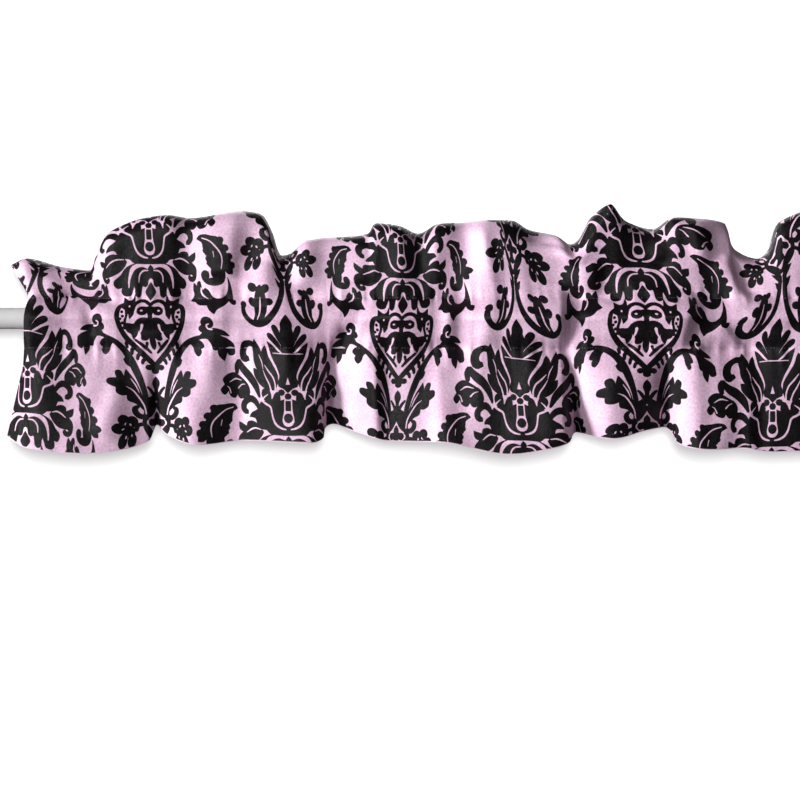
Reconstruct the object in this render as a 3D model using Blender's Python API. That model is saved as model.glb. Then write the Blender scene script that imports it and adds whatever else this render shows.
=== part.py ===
"""Window valance gathered on a round rod.

The cloth is one cut length. Its top is folded over to the back and sewn down twice, so from the
top it has a ruffled header of two layers, a pocket that the rod runs through, and a skirt of one
layer that ends in the hem. The rod is a plain round bar that shows past the cloth at both ends.

Frame: +X runs along the rod, +Z is up, the printed face of the cloth looks along -Y. The origin
is the centre of the rod's left end face. Sizes are in millimetres until a mesh is made of them.
"""
import math
from typing import NamedTuple

import bmesh
import bpy
import numpy as np

MM = 0.001

# The rod.
ROD_DIAMETER = 28.0
ROD_LENGTH = 1290.0
ROD_SIDES = 32
ROD_EDGE = 1.0

# The cloth, cut 1390 mm wide along the rod.
CLOTH_THICKNESS = 1.6
HEADER_THICKNESS = 2.6
HEADER_LENGTH = 122.0
UPPER_STITCH_RISE = 26.0
LOWER_STITCH_DROP = 39.0

# Where the header is too low to stand, it rolls to the back on this radius, up to this turn.
ROLL_RADIUS = 24.0
ROLL_TURN = math.radians(115)
ROLL_SEARCH_STEPS = 30

# The cloth over the rod: the radius of its outer face where it is drawn tight, and the directions
# around the rod, from straight up, where it is sampled.
SNUG_RADIUS = 0.5 * ROD_DIAMETER + 2.8
ROD_DIRECTIONS = (math.radians(55), math.radians(90), math.radians(125))

# The pocket's last row, between the rod and the lower stitch line: its share of the way down, and
# its share of the way back to the stitches, which leaves the wall a little full.
POCKET_FOOT_SHARE = 0.55
POCKET_FOOT_DRAW = 0.41

# Soft waves of the pocket's plain back wall.
BACK_WAVE_LENGTH = 130.0
BACK_WAVE_DEPTH = 1.5

# Rows of points down the cloth, and how far apart the cross-sections are along it. The header's
# lower rows end where it starts to roll back, or at this share of its length.
HEADER_STAND_SHARE = 0.55
HEADER_STAND_ROWS = 2
HEADER_ROLL_ROWS = 4
SKIRT_ROWS = 5
STATION_PITCH = 17.0
STATION_LEAST = 7.0


class HeaderFold(NamedTuple):
    """One crest or dip of the header, with its place on the flat cloth."""
    flat: float      # along the flat cloth, from its left edge
    across: float    # along the rod
    rise: float      # highest point above the rod's axis
    forward: float   # in front of the rod's axis at the top


class PocketFold(NamedTuple):
    """One crest or trough of the gathers where the cloth is sewn above and below the rod."""
    flat: float
    upper_across: float
    upper_forward: float
    slack: float     # how far the front layer stands off the rod
    lower_across: float
    lower_forward: float


class HemFold(NamedTuple):
    """One lobe or notch of the hem."""
    flat: float
    across: float
    drop: float      # below the rod's axis
    forward: float


HEADER = (
    HeaderFold(0, 41, 72, 6),
    HeaderFold(30, 62, 79, 12),
    HeaderFold(80, 108, 68, 8),
    HeaderFold(120, 144, 64, 6),
    HeaderFold(134, 152, 86, 4),
    HeaderFold(160, 170, 115, 8),
    HeaderFold(250, 248, 136, 12),
    HeaderFold(276, 274, 133, 2),
    HeaderFold(342, 337, 142, -2),
    HeaderFold(374, 367, 138, 6),
    HeaderFold(392, 381, 117, 8),
    HeaderFold(408, 393, 84, 2),
    HeaderFold(424, 404, 86, -4),
    HeaderFold(452, 429, 104, 4),
    HeaderFold(546, 508, 113, -4),
    HeaderFold(560, 517, 126, 4),
    HeaderFold(600, 549, 122, 12),
    HeaderFold(632, 574, 113, -2),
    HeaderFold(668, 600, 125, 8),
    HeaderFold(712, 634, 128, -4),
    HeaderFold(760, 668, 130, 10),
    HeaderFold(800, 697, 130, 2),
    HeaderFold(826, 720, 118, -2),
    HeaderFold(862, 755, 110, -4),
    HeaderFold(884, 774, 98, -6),
    HeaderFold(896, 783, 103, 0),
    HeaderFold(918, 801, 134, 10),
    HeaderFold(943, 824, 148, 12),
    HeaderFold(970, 848, 128, 4),
    HeaderFold(1006, 883, 119, -4),
    HeaderFold(1036, 909, 133, 12),
    HeaderFold(1108, 978, 126, 0),
    HeaderFold(1118, 982, 110, -4),
    HeaderFold(1134, 990, 94, -6),
    HeaderFold(1160, 1021, 80, -2),
    HeaderFold(1170, 1034, 88, 4),
    HeaderFold(1182, 1046, 126, 10),
    HeaderFold(1240, 1098, 143, 8),
    HeaderFold(1290, 1144, 127, -2),
    HeaderFold(1350, 1192, 113, 6),
    HeaderFold(1390, 1223, 101, 10),
)

POCKET = (
    PocketFold(0, 66, -4, 0, 62, -4),
    PocketFold(14, 66, 1, 4, 61, 2),
    PocketFold(30, 73, 5, 8, 70, 10),
    PocketFold(90, 127, 0, 6, 126, 12),
    PocketFold(150, 176, 6, 8, 178, 10),
    PocketFold(220, 226, 8, 6, 233, 4),
    PocketFold(265, 270, -3, 0, 271, -2),
    PocketFold(305, 306, 5, 6, 308, 9),
    PocketFold(345, 338, 1, 4, 345, 8),
    PocketFold(410, 400, 8, 9, 403, 12),
    PocketFold(450, 437, -1, 1, 439, 2),
    PocketFold(500, 475, 4, 0, 469, -4),
    PocketFold(560, 521, 7, 6, 515, 8),
    PocketFold(600, 554, 9, 10, 551, 12),
    PocketFold(685, 619, -2, 0, 618, -2),
    PocketFold(732, 657, 9, 9, 655, 12),
    PocketFold(790, 701, 8, 10, 705, 12),
    PocketFold(857, 761, -5, 0, 760, -2),
    PocketFold(900, 797, 4, 6, 797, 12),
    PocketFold(980, 868, 9, 10, 871, 8),
    PocketFold(1040, 927, 6, 8, 922, 12),
    PocketFold(1090, 968, 0, 3, 968, 4),
    PocketFold(1130, 1003, 0, 0, 1002, -2),
    PocketFold(1170, 1044, 6, 6, 1039, 8),
    PocketFold(1235, 1097, 4, 8, 1094, 12),
    PocketFold(1290, 1138, -2, 0, 1138, 0),
    PocketFold(1360, 1200, 8, 8, 1197, 10),
    PocketFold(1378, 1213, 3, 4, 1211, 4),
    PocketFold(1390, 1216, -4, 0, 1213, -2),
)

HEM = (
    HemFold(0, 38, 153, 8),
    HemFold(30, 65, 168, 18),
    HemFold(110, 142, 176, 24),
    HemFold(200, 224, 159, 6),
    HemFold(220, 232, 139, -10),
    HemFold(240, 246, 151, 0),
    HemFold(290, 291, 165, 18),
    HemFold(352, 350, 159, 16),
    HemFold(446, 438, 162, 24),
    HemFold(462, 451, 155, 16),
    HemFold(480, 452, 144, 0),
    HemFold(500, 462, 138, -10),
    HemFold(545, 498, 150, -4),
    HemFold(590, 538, 160, 8),
    HemFold(660, 601, 161, 18),
    HemFold(764, 692, 177, 26),
    HemFold(820, 744, 170, 26),
    HemFold(850, 770, 161, 20),
    HemFold(866, 776, 151, 2),
    HemFold(882, 781, 149, -10),
    HemFold(932, 827, 157, 8),
    HemFold(980, 872, 146, -4),
    HemFold(1004, 897, 142, -12),
    HemFold(1020, 906, 151, 4),
    HemFold(1032, 909, 161, 14),
    HemFold(1082, 952, 171, 22),
    HemFold(1126, 992, 169, 10),
    HemFold(1170, 1032, 174, 20),
    HemFold(1240, 1098, 171, 16),
    HemFold(1300, 1147, 152, -8),
    HemFold(1345, 1184, 160, 6),
    HemFold(1390, 1223, 164, 16),
)


def smooth_curve(folds, column: str):
    """A curve through one column of a table of folds, which never swings past its values."""
    at = np.array([fold.flat for fold in folds])
    value = np.array([getattr(fold, column) for fold in folds])
    step = np.diff(at)
    rate = np.diff(value) / step
    slope = np.zeros(len(at))
    slope[0], slope[-1] = rate[0], rate[-1]
    for k in range(1, len(at) - 1):
        if rate[k - 1] * rate[k] > 0:
            before = step[k] * 2 + step[k - 1]
            after = step[k] + step[k - 1] * 2
            slope[k] = (before + after) / (before / rate[k - 1] + after / rate[k])

    def read(flat: float) -> float:
        k = int(np.clip(np.searchsorted(at, flat) - 1, 0, len(step) - 1))
        t = (flat - at[k]) / step[k]
        rise = t * t * (3 - 2 * t)
        return float(value[k] * (1 - rise) + value[k + 1] * rise
                     + step[k] * (slope[k] * t * (1 - t) ** 2 - slope[k + 1] * t * t * (1 - t)))

    return read


TOP_ACROSS = smooth_curve(HEADER, "across")
TOP_RISE = smooth_curve(HEADER, "rise")
TOP_FORWARD = smooth_curve(HEADER, "forward")
UPPER_ACROSS = smooth_curve(POCKET, "upper_across")
UPPER_FORWARD = smooth_curve(POCKET, "upper_forward")
SLACK = smooth_curve(POCKET, "slack")
LOWER_ACROSS = smooth_curve(POCKET, "lower_across")
LOWER_FORWARD = smooth_curve(POCKET, "lower_forward")
HEM_ACROSS = smooth_curve(HEM, "across")
HEM_DROP = smooth_curve(HEM, "drop")
HEM_FORWARD = smooth_curve(HEM, "forward")


def blend(low: float, high: float, share: float) -> float:
    """The value a share of the way from low to high."""
    return low + (high - low) * share


def stations() -> list[float]:
    """Places along the flat cloth for the cross-sections: every fold, and steps between them."""
    folds = sorted({fold.flat for fold in HEM} | {fold.flat for fold in HEADER})
    kept = [folds[0]]
    for flat in folds[1:-1]:
        if flat - kept[-1] >= STATION_LEAST and folds[-1] - flat >= STATION_LEAST:
            kept.append(flat)
    kept.append(folds[-1])
    places = []
    for left, right in zip(kept, kept[1:]):
        steps = math.ceil((right - left) / STATION_PITCH)
        places += [blend(left, right, k / steps) for k in range(steps)]
    return places + [kept[-1]]


def header_roll(height: float) -> tuple[float, float]:
    """How far the header stands before it rolls to the back, and how far it then turns, so that
    its highest point is at this height above the upper stitch line."""
    spare = HEADER_LENGTH - height
    quarter = math.pi / 2
    if spare >= ROLL_RADIUS * (quarter - 1):
        return height - ROLL_RADIUS, min(spare / ROLL_RADIUS + 1, ROLL_TURN)
    low, high = 0.0, quarter
    for _ in range(ROLL_SEARCH_STEPS):
        turn = 0.5 * (low + high)
        if ROLL_RADIUS * (turn - math.sin(turn)) < spare:
            low = turn
        else:
            high = turn
    return HEADER_LENGTH - ROLL_RADIUS * turn, turn


def header_column(flat: float) -> list[tuple[float, float, float]]:
    """The header's front face at one station, from its top edge down to the upper stitch line."""
    height = TOP_RISE(flat) - UPPER_STITCH_RISE
    stand, turn = header_roll(height)
    split = min(stand, HEADER_STAND_SHARE * HEADER_LENGTH)
    length = stand + ROLL_RADIUS * turn
    arcs = [blend(length, split, k / HEADER_ROLL_ROWS) for k in range(HEADER_ROLL_ROWS)]
    arcs += [blend(split, 0, k / HEADER_STAND_ROWS) for k in range(HEADER_STAND_ROWS + 1)]
    column = []
    for arc in arcs:
        bend = max(arc - stand, 0) / ROLL_RADIUS
        rise = min(arc, stand) + ROLL_RADIUS * math.sin(bend)
        back = ROLL_RADIUS * (1 - math.cos(bend))
        share = min(arc / height, 1)
        across = blend(UPPER_ACROSS(flat), TOP_ACROSS(flat), share)
        forward = blend(UPPER_FORWARD(flat), TOP_FORWARD(flat), share)
        column.append((across, back - forward, UPPER_STITCH_RISE + rise))
    return column


def pocket_column(flat: float, side: int, slack: float, stitch_back: float):
    """One wall of the pocket between the stitch lines: side is -1 for the front, 1 for the back."""
    lower = stitch_back - LOWER_FORWARD(flat)
    column = []
    for direction in ROD_DIRECTIONS:
        rise = SNUG_RADIUS * math.cos(direction)
        share = (UPPER_STITCH_RISE - rise) / (UPPER_STITCH_RISE + LOWER_STITCH_DROP)
        across = blend(UPPER_ACROSS(flat), LOWER_ACROSS(flat), share)
        reach = (SNUG_RADIUS + slack) * math.sin(direction)
        column.append((across, side * reach, rise))
    foot_rise = blend(rise, -LOWER_STITCH_DROP, POCKET_FOOT_SHARE)
    share = (UPPER_STITCH_RISE - foot_rise) / (UPPER_STITCH_RISE + LOWER_STITCH_DROP)
    across = blend(UPPER_ACROSS(flat), LOWER_ACROSS(flat), share)
    foot_back = blend(side * reach, lower, POCKET_FOOT_DRAW)
    column.append((across, foot_back, foot_rise))
    return column


def skirt_column(flat: float) -> list[tuple[float, float, float]]:
    """The skirt's front face at one station, from the lower stitch line down to the hem."""
    column = []
    for k in range(SKIRT_ROWS + 1):
        share = k / SKIRT_ROWS
        across = blend(LOWER_ACROSS(flat), HEM_ACROSS(flat), share)
        forward = blend(LOWER_FORWARD(flat), HEM_FORWARD(flat), share)
        drop = blend(LOWER_STITCH_DROP, HEM_DROP(flat), share)
        column.append((across, -forward, -drop))
    return column


def face_normals(grid: np.ndarray) -> np.ndarray:
    """Unit normals of a grid of points, stations by rows, turned towards the front."""
    along = np.gradient(grid, axis=0)
    down = np.gradient(grid, axis=1)
    normal = np.cross(down, along)
    return normal / np.linalg.norm(normal, axis=2, keepdims=True)


class Mesh:
    """Points and faces collected for one closed body."""

    def __init__(self):
        self.points = []
        self.faces = []

    def add_grid(self, grid: np.ndarray) -> np.ndarray:
        """Add a grid of points and give back their numbers in the same layout."""
        first = len(self.points)
        self.points += [tuple(point) for point in grid.reshape(-1, 3)]
        return np.arange(first, len(self.points)).reshape(grid.shape[:2])

    def add_skin(self, numbers: np.ndarray):
        """Add four-sided faces between the neighbouring points of a grid."""
        for left, right in zip(numbers, numbers[1:]):
            for k in range(len(left) - 1):
                self.faces.append((left[k], left[k + 1], right[k + 1], right[k]))

    def add_object(self, name: str) -> bpy.types.Object:
        """Make the object, in metres, with its faces turned outwards."""
        mesh = bpy.data.meshes.new(name)
        mesh.from_pydata([[MM * c for c in point] for point in self.points], [],
                         [[int(n) for n in face] for face in self.faces])
        work = bmesh.new()
        work.from_mesh(mesh)
        bmesh.ops.recalc_face_normals(work, faces=work.faces)
        work.to_mesh(mesh)
        work.free()
        mesh.shade_smooth()
        built = bpy.data.objects.new(name, mesh)
        bpy.context.scene.collection.objects.link(built)
        return built


def plain_material(name: str, colour: tuple[float, float, float], roughness: float):
    """A Principled material without metal."""
    material = bpy.data.materials.new(name)
    material.use_nodes = True
    shader = material.node_tree.nodes["Principled BSDF"]
    shader.inputs["Base Color"].default_value = (*colour, 1)
    shader.inputs["Roughness"].default_value = roughness
    shader.inputs["Metallic"].default_value = 0
    return material


def build_cloth() -> bpy.types.Object:
    """The header, the pocket's two walls and the skirt, as one closed body with a tunnel."""
    front, back_wall = [], []
    for flat in stations():
        header = header_column(flat)
        skirt = skirt_column(flat)
        front.append(header + pocket_column(flat, -1, SLACK(flat), 0) + skirt)
        wave = BACK_WAVE_DEPTH * (1 + math.sin(2 * math.pi * flat / BACK_WAVE_LENGTH))
        back_wall.append(pocket_column(flat, 1, wave, HEADER_THICKNESS))
    front = np.array(front)
    back_wall = np.array(back_wall)

    header_rows = HEADER_STAND_ROWS + HEADER_ROLL_ROWS + 1
    pocket_rows = back_wall.shape[1]
    upper, lower = header_rows - 1, header_rows + pocket_rows
    thickness = np.full(front.shape[1], CLOTH_THICKNESS)
    thickness[:header_rows] = HEADER_THICKNESS
    behind = front - face_normals(front) * thickness[None, :, None]

    # Between the stitch lines the layers part, and the back wall takes the place of the back face.
    back = behind.copy()
    back[:, upper + 1:lower] = back_wall
    wall = back[:, upper:lower + 1]
    inner_back = (wall + face_normals(wall) * CLOTH_THICKNESS)[:, 1:-1]
    inner_front = behind[:, upper + 1:lower]
    seams = 0.5 * (front + behind)[:, [upper, lower]]

    cloth = Mesh()
    front_ids = cloth.add_grid(front)
    back_ids = cloth.add_grid(back)
    seam_ids = cloth.add_grid(seams)
    inner_ids = []
    for inner in (inner_front, inner_back):
        ids = cloth.add_grid(inner)
        inner_ids.append(np.concatenate([seam_ids[:, :1], ids, seam_ids[:, 1:]], axis=1))
    for ids in (front_ids, back_ids, *inner_ids):
        cloth.add_skin(ids)
    cloth.add_skin(np.stack([front_ids[:, 0], back_ids[:, 0]], axis=1))
    cloth.add_skin(np.stack([front_ids[:, -1], back_ids[:, -1]], axis=1))
    for end in (0, -1):
        inner = [ids[end] for ids in inner_ids]
        add_side_edge(cloth, front_ids[end], back_ids[end], inner, upper, lower)

    valance = cloth.add_object("valance")
    valance.data.materials.append(plain_material("printed_cotton", (0.72, 0.47, 0.62), 0.55))
    return valance


def add_side_edge(cloth: Mesh, front, back, inner, upper: int, lower: int):
    """Close one end of the cloth: a thin strip that parts into two around the pocket's mouth."""
    rows = len(front)
    for k in range(rows - 1):
        if k < upper - 1 or k > lower:
            cloth.faces.append((front[k], front[k + 1], back[k + 1], back[k]))
    seam_top, seam_foot = inner[0][0], inner[0][-1]
    cloth.faces.append((front[upper - 1], front[upper], seam_top, back[upper], back[upper - 1]))
    cloth.faces.append((front[lower], front[lower + 1], back[lower + 1], back[lower], seam_foot))
    for outer_wall, inner_wall in ((front, inner[0]), (back, inner[1])):
        outer_wall = outer_wall[upper:lower + 1]
        for k in range(lower - upper):
            cloth.faces.append((outer_wall[k], outer_wall[k + 1], inner_wall[k + 1], inner_wall[k]))


def build_rod() -> bpy.types.Object:
    """A plain round bar with eased ends."""
    mesh = bpy.data.meshes.new("rod")
    work = bmesh.new()
    bmesh.ops.create_cone(work, cap_ends=True, segments=ROD_SIDES, depth=ROD_LENGTH * MM,
                          radius1=0.5 * ROD_DIAMETER * MM, radius2=0.5 * ROD_DIAMETER * MM)
    work.to_mesh(mesh)
    work.free()
    rod = bpy.data.objects.new("rod", mesh)
    bpy.context.scene.collection.objects.link(rod)
    rod.rotation_euler = (0, math.pi / 2, 0)
    rod.location = (0.5 * ROD_LENGTH * MM, 0, 0)
    ease = rod.modifiers.new("eased ends", "BEVEL")
    ease.width = ROD_EDGE * MM
    ease.segments = 2
    ease.limit_method = "ANGLE"
    ease.angle_limit = math.radians(60)
    mesh.shade_smooth()
    mesh.set_sharp_from_angle(angle=math.radians(40))
    mesh.materials.append(plain_material("white_rod", (0.78, 0.78, 0.78), 0.4))
    return rod


def main():
    """Clear the scene and build the two pieces."""
    for old in list(bpy.data.objects):
        bpy.data.objects.remove(old)
    build_rod()
    build_cloth()


main()
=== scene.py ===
"""The looks of a window valance gathered on a round rod.

The cloth is one folded sheet: from the hem it runs up the skirt, over the front of the rod, up the
header, over the header's top edge, and down again behind the rod to the lower row of stitches.
Places on the cut cloth are given by `flat`, along the rod, and `run`, up the cloth from the hem,
both in millimetres. Places in space are in the row frame: +X along the rod, +Z up, the printed
front looks along -Y, and the origin is the centre of the rod's left end face.
"""
import sys
import logging
import math
from dataclasses import dataclass, field
from enum import Enum
from typing import NamedTuple, Sequence

import bpy
import numpy as np
from bpy.types import Collection, Material, Mesh, Node, NodeSocket, NodeTree, Object
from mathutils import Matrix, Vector
from mathutils.geometry import delaunay_2d_cdt


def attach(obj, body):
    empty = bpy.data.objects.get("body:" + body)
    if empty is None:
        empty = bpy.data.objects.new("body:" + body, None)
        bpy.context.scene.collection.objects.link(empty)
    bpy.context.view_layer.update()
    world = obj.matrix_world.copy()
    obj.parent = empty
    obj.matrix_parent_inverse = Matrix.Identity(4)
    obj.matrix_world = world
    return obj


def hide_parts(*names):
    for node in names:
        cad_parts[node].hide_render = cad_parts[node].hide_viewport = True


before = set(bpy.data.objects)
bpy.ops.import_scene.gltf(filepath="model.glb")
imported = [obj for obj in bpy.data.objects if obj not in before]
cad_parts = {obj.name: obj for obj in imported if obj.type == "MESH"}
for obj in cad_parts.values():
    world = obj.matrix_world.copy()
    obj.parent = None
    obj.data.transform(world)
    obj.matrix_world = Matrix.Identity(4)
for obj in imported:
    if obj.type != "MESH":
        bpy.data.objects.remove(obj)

Array = np.ndarray
Pair = tuple[float, float]
Triple = tuple[float, float, float]
Value = NodeSocket | float

LOG = logging.getLogger("valance")
MM = 0.001
BODY = "root"
NEAR_ZERO = 1e-9


# ----- Folds of the cloth, in millimetres -----


class HeaderFold(NamedTuple):
    """One crest or dip of the header, with its place on the flat cloth."""

    flat: float
    across: float
    rise: float
    forward: float


class PocketFold(NamedTuple):
    """One crest or trough of the gathers where the cloth is sewn above and below the rod."""

    flat: float
    upper_across: float
    upper_forward: float
    slack: float
    lower_across: float
    lower_forward: float


class HemFold(NamedTuple):
    """One lobe or notch of the hem."""

    flat: float
    across: float
    drop: float
    forward: float


class Crease(NamedTuple):
    """A soft trough (depth below zero) or ridge (above zero), from its upper end to its lower end.

    Its ends are told by how far along the frame they show from the front, and how high. `left` and
    `right` say how far it spreads on its two sides.
    """

    across: float
    height: float
    end_across: float
    end_height: float
    left: float
    right: float
    depth: float


class PrintPlace(NamedTuple):
    """Where one upright line of the print's chart shows, and how far the print has slipped there.

    `chart` counts chart steps from the first column's middle. The next three say how far along the
    frame the line shows from the front, on the header, the pocket and the skirt. The last two are
    how far the print sits lower.
    """

    chart: float
    on_header: float
    on_pocket: float
    on_skirt: float
    header_drop: float
    skirt_drop: float


HEADER = tuple(HeaderFold(*row) for row in (
    (0, 41, 72, 6), (30, 62, 79, 12), (80, 108, 68, 8), (120, 144, 64, 6), (134, 152, 86, 4),
    (160, 170, 115, 8), (250, 248, 136, 12), (276, 274, 133, 2), (342, 337, 142, -2),
    (374, 367, 138, 6), (392, 381, 117, 8), (408, 393, 84, 2), (424, 404, 86, -4),
    (452, 429, 104, 4), (546, 508, 113, -4), (560, 517, 126, 4), (600, 549, 122, 12),
    (632, 574, 113, -2), (668, 600, 125, 8), (712, 634, 128, -4), (760, 668, 130, 10),
    (800, 697, 130, 2), (826, 720, 118, -2), (862, 755, 110, -4), (884, 774, 98, -6),
    (896, 783, 103, 0), (918, 801, 134, 10), (943, 824, 148, 12), (970, 848, 128, 4),
    (1006, 883, 119, -4), (1036, 909, 133, 12), (1108, 978, 126, 0), (1118, 982, 110, -4),
    (1134, 990, 94, -6), (1160, 1021, 80, -2), (1170, 1034, 88, 4), (1182, 1046, 126, 10),
    (1240, 1098, 143, 8), (1290, 1144, 127, -2), (1350, 1192, 113, 6), (1390, 1223, 101, 10),
))

POCKET = tuple(PocketFold(*row) for row in (
    (0, 66, -4, 0, 62, -4), (14, 66, 1, 4, 61, 2), (30, 73, 5, 8, 70, 10),
    (90, 127, 0, 6, 126, 12), (150, 176, 6, 8, 178, 10), (220, 226, 8, 6, 233, 4),
    (265, 270, -3, 0, 271, -2), (305, 306, 5, 6, 308, 9), (345, 338, 1, 4, 345, 8),
    (410, 400, 8, 9, 403, 12), (450, 437, -1, 1, 439, 2), (500, 475, 4, 0, 469, -4),
    (560, 521, 7, 6, 515, 8), (600, 554, 9, 10, 551, 12), (685, 619, -2, 0, 618, -2),
    (732, 657, 9, 9, 655, 12), (790, 701, 8, 10, 705, 12), (857, 761, -5, 0, 760, -2),
    (900, 797, 4, 6, 797, 12), (980, 868, 9, 10, 871, 8), (1040, 927, 6, 8, 922, 12),
    (1090, 968, 0, 3, 968, 4), (1130, 1003, 0, 0, 1002, -2), (1170, 1044, 6, 6, 1039, 8),
    (1235, 1097, 4, 8, 1094, 12), (1290, 1138, -2, 0, 1138, 0), (1360, 1200, 8, 8, 1197, 10),
    (1378, 1213, 3, 4, 1211, 4), (1390, 1216, -4, 0, 1213, -2),
))

HEM = tuple(HemFold(*row) for row in (
    (0, 38, 153, 8), (30, 65, 168, 18), (110, 142, 176, 24), (200, 224, 159, 6),
    (220, 232, 139, -10), (240, 246, 151, 0), (290, 291, 165, 18), (352, 350, 159, 16),
    (446, 438, 162, 24), (462, 451, 155, 16), (480, 452, 144, 0), (500, 462, 138, -10),
    (545, 498, 150, -4), (590, 538, 160, 8), (660, 601, 161, 18), (764, 692, 177, 26),
    (820, 744, 170, 26), (850, 770, 161, 20), (866, 776, 151, 2), (882, 781, 149, -10),
    (932, 827, 157, 8), (980, 872, 146, -4), (1004, 897, 142, -12), (1020, 906, 151, 4),
    (1032, 909, 161, 14), (1082, 952, 171, 22), (1126, 992, 169, 10), (1170, 1032, 174, 20),
    (1240, 1098, 171, 16), (1300, 1147, 152, -8), (1345, 1184, 160, 6), (1390, 1223, 164, 16),
))

CREASES = tuple(Crease(*row) for row in (
    # The header.
    (95, 45, 190, 15, 10, 12, -5.5), (45, 110, 75, 10, 20, 35, 3), (92, 75, 110, 30, 16, 20, 4),
    (175, 130, 165, 40, 18, 35, 5), (334, 145, 322, 50, 50, 22, 13), (368, 75, 372, 15, 75, 18, 8),
    (422, 135, 425, 40, 16, 30, 8), (494, 140, 500, 45, 30, 40, 7), (592, 125, 598, 65, 16, 10, 2),
    (652, 130, 672, 35, 18, 12, 4), (764, 150, 768, 80, 18, 40, 12),
    (775, 100, 775, 35, 115, 35, 10), (820, 75, 816, 20, 12, 30, -6),
    (884, 135, 888, 75, 12, 12, 6), (930, 130, 946, 70, 12, 16, 6), (970, 80, 1004, 15, 20, 12, 7),
    # The pocket.
    (140, 25, 150, -20, 10, 10, -3), (280, 50, 294, -45, 18, 45, -3.5),
    (346, 75, 332, -30, 12, 50, -3.5), (500, 25, 456, -75, 14, 14, -6),
    (612, 45, 615, -70, 12, 14, 6), (670, 40, 660, -45, 14, 20, 4),
    (768, 30, 768, -70, 12, 12, -2.5), (756, 50, 754, -45, 55, 14, 11),
    (762, 45, 766, -95, 25, 12, 4), (930, 35, 910, -45, 60, 14, 10),
    (1010, 35, 1006, -15, 30, 16, 7.5), (964, -5, 1000, -50, 18, 8, 5),
    # The skirt.
    (64, 35, 70, -200, 10, 55, 11), (208, -40, 200, -200, 35, 50, -5),
    (188, -85, 156, -160, 18, 25, 5), (268, -15, 268, -200, 90, 30, 9),
    (340, -30, 340, -200, 30, 14, -7), (448, -100, 446, -200, 12, 18, -5),
    (516, -20, 520, -200, 45, 12, 11), (606, -35, 604, -200, 20, 45, 9),
    (760, -35, 764, -165, 50, 12, 7.5), (818, -45, 816, -165, 35, 50, 9),
    (880, -35, 886, -185, 55, 16, 11), (894, -40, 900, -200, 18, 20, -5),
    (934, -30, 940, -200, 20, 16, 6), (996, -40, 1006, -200, 60, 16, 12),
))

PRINT_PLACES = tuple(PrintPlace(*row) for row in (
    (-108, -92, -92, -92, -27, -27), (0, 82, 64, 64, -27, -27), (24, 108, 98, 96, -12, -22),
    (36, 110, 109, 109, -9, -20), (50, 118, 119, 126, -8, -16), (69, 143, 137, 141, -5, -10),
    (87, 164, 160, 156, -3, -6), (95, 170, 169, 175, -1, -4), (111, 194, 191, 198, -1, -3),
    (135, 225, 225, 233, -1, -1), (159, 256, 256, 264, -1, -1), (183, 284, 292, 289, -1, -1),
    (210, 318, 332, 327, 0, 0), (222, 332, 341, 341, 0, 0), (232, 345, 353, 354, 0, 0),
    (243, 359, 366, 367, 1, 1), (270, 399, 401, 404, 3, 3), (297, 427, 436, 440, 4, 3),
    (308, 439, 446, 447, 3, 3), (318, 456, 453, 452, 1, 4), (329, 464, 461, 457, 1, 4),
    (354, 487, 487, 486, 5, 6), (363, 500, 499, 500, 10, 9), (381, 525, 524, 525, 16, 16),
    (405, 553, 551, 546, 17, 17), (429, 581, 583, 573, 14, 16), (453, 610, 606, 598, 8, 13),
    (471, 624, 626, 618, 6, 12), (492, 639, 648, 645, 6, 12), (500, 666, 662, 656, 4, 10),
    (513, 683, 677, 670, 3, 9), (540, 698, 701, 707, 9, 9), (567, 726, 748, 743, 17, 14),
    (578, 742, 759, 759, 18, 16), (588, 759, 767, 773, 20, 18), (599, 773, 776, 781, 18, 18),
    (624, 790, 795, 795, 13, 18), (633, 807, 808, 807, 9, 14), (651, 829, 835, 839, 5, 6),
    (675, 865, 871, 871, 3, 3), (699, 900, 906, 904, 8, 6), (723, 927, 933, 931, 20, 18),
    (741, 956, 953, 951, 32, 26), (762, 977, 974, 980, 31, 26), (772, 1001, 991, 990, 20, 23),
    (783, 1018, 1007, 1004, 12, 21), (810, 1049, 1040, 1037, 4, 17),
    (880, 1140, 1140, 1140, 4, 17), (1080, 1410, 1410, 1410, 17, 17),
))


class FoldCurve:
    """A curve through one column of a table of folds, which never swings past its values."""

    def __init__(self, folds: Sequence[NamedTuple], column: str) -> None:
        """Work out the slope at every fold.

        Args:
            folds: the table's rows; the first entry of each says where it is.
            column: the name of the column that the curve follows.
        """
        self.at = np.array([fold[0] for fold in folds], float)
        self.value = np.array([getattr(fold, column) for fold in folds], float)
        self.step = np.diff(self.at)
        rate = np.diff(self.value) / self.step
        self.slope = np.zeros(len(self.at))
        self.slope[0], self.slope[-1] = rate[0], rate[-1]
        for k in range(1, len(self.at) - 1):
            if rate[k - 1] * rate[k] > 0:
                before = self.step[k] * 2 + self.step[k - 1]
                after = self.step[k] + self.step[k - 1] * 2
                self.slope[k] = (before + after) / (before / rate[k - 1] + after / rate[k])

    def __call__(self, flat: Array) -> Array:
        """Read the curve.

        Args:
            flat: places along the cut cloth.

        Returns:
            The column's value at each place.
        """
        k = np.clip(np.searchsorted(self.at, flat) - 1, 0, len(self.step) - 1)
        t = (flat - self.at[k]) / self.step[k]
        rise, bend = cubic(t, self.slope[k], self.slope[k + 1])
        return self.value[k] * (1 - rise) + self.value[k + 1] * rise + self.step[k] * bend


def mix(low, high, share):
    """The value a share of the way from low to high, of numbers or arrays."""
    return low + (high - low) * share


def cubic(t, first_slope, last_slope):
    """How far a cubic has risen at t, from 0 to 1, and the bend that its end slopes add."""
    return t * t * (3 - 2 * t), first_slope * t * (1 - t) ** 2 - last_slope * t * t * (1 - t)


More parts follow.
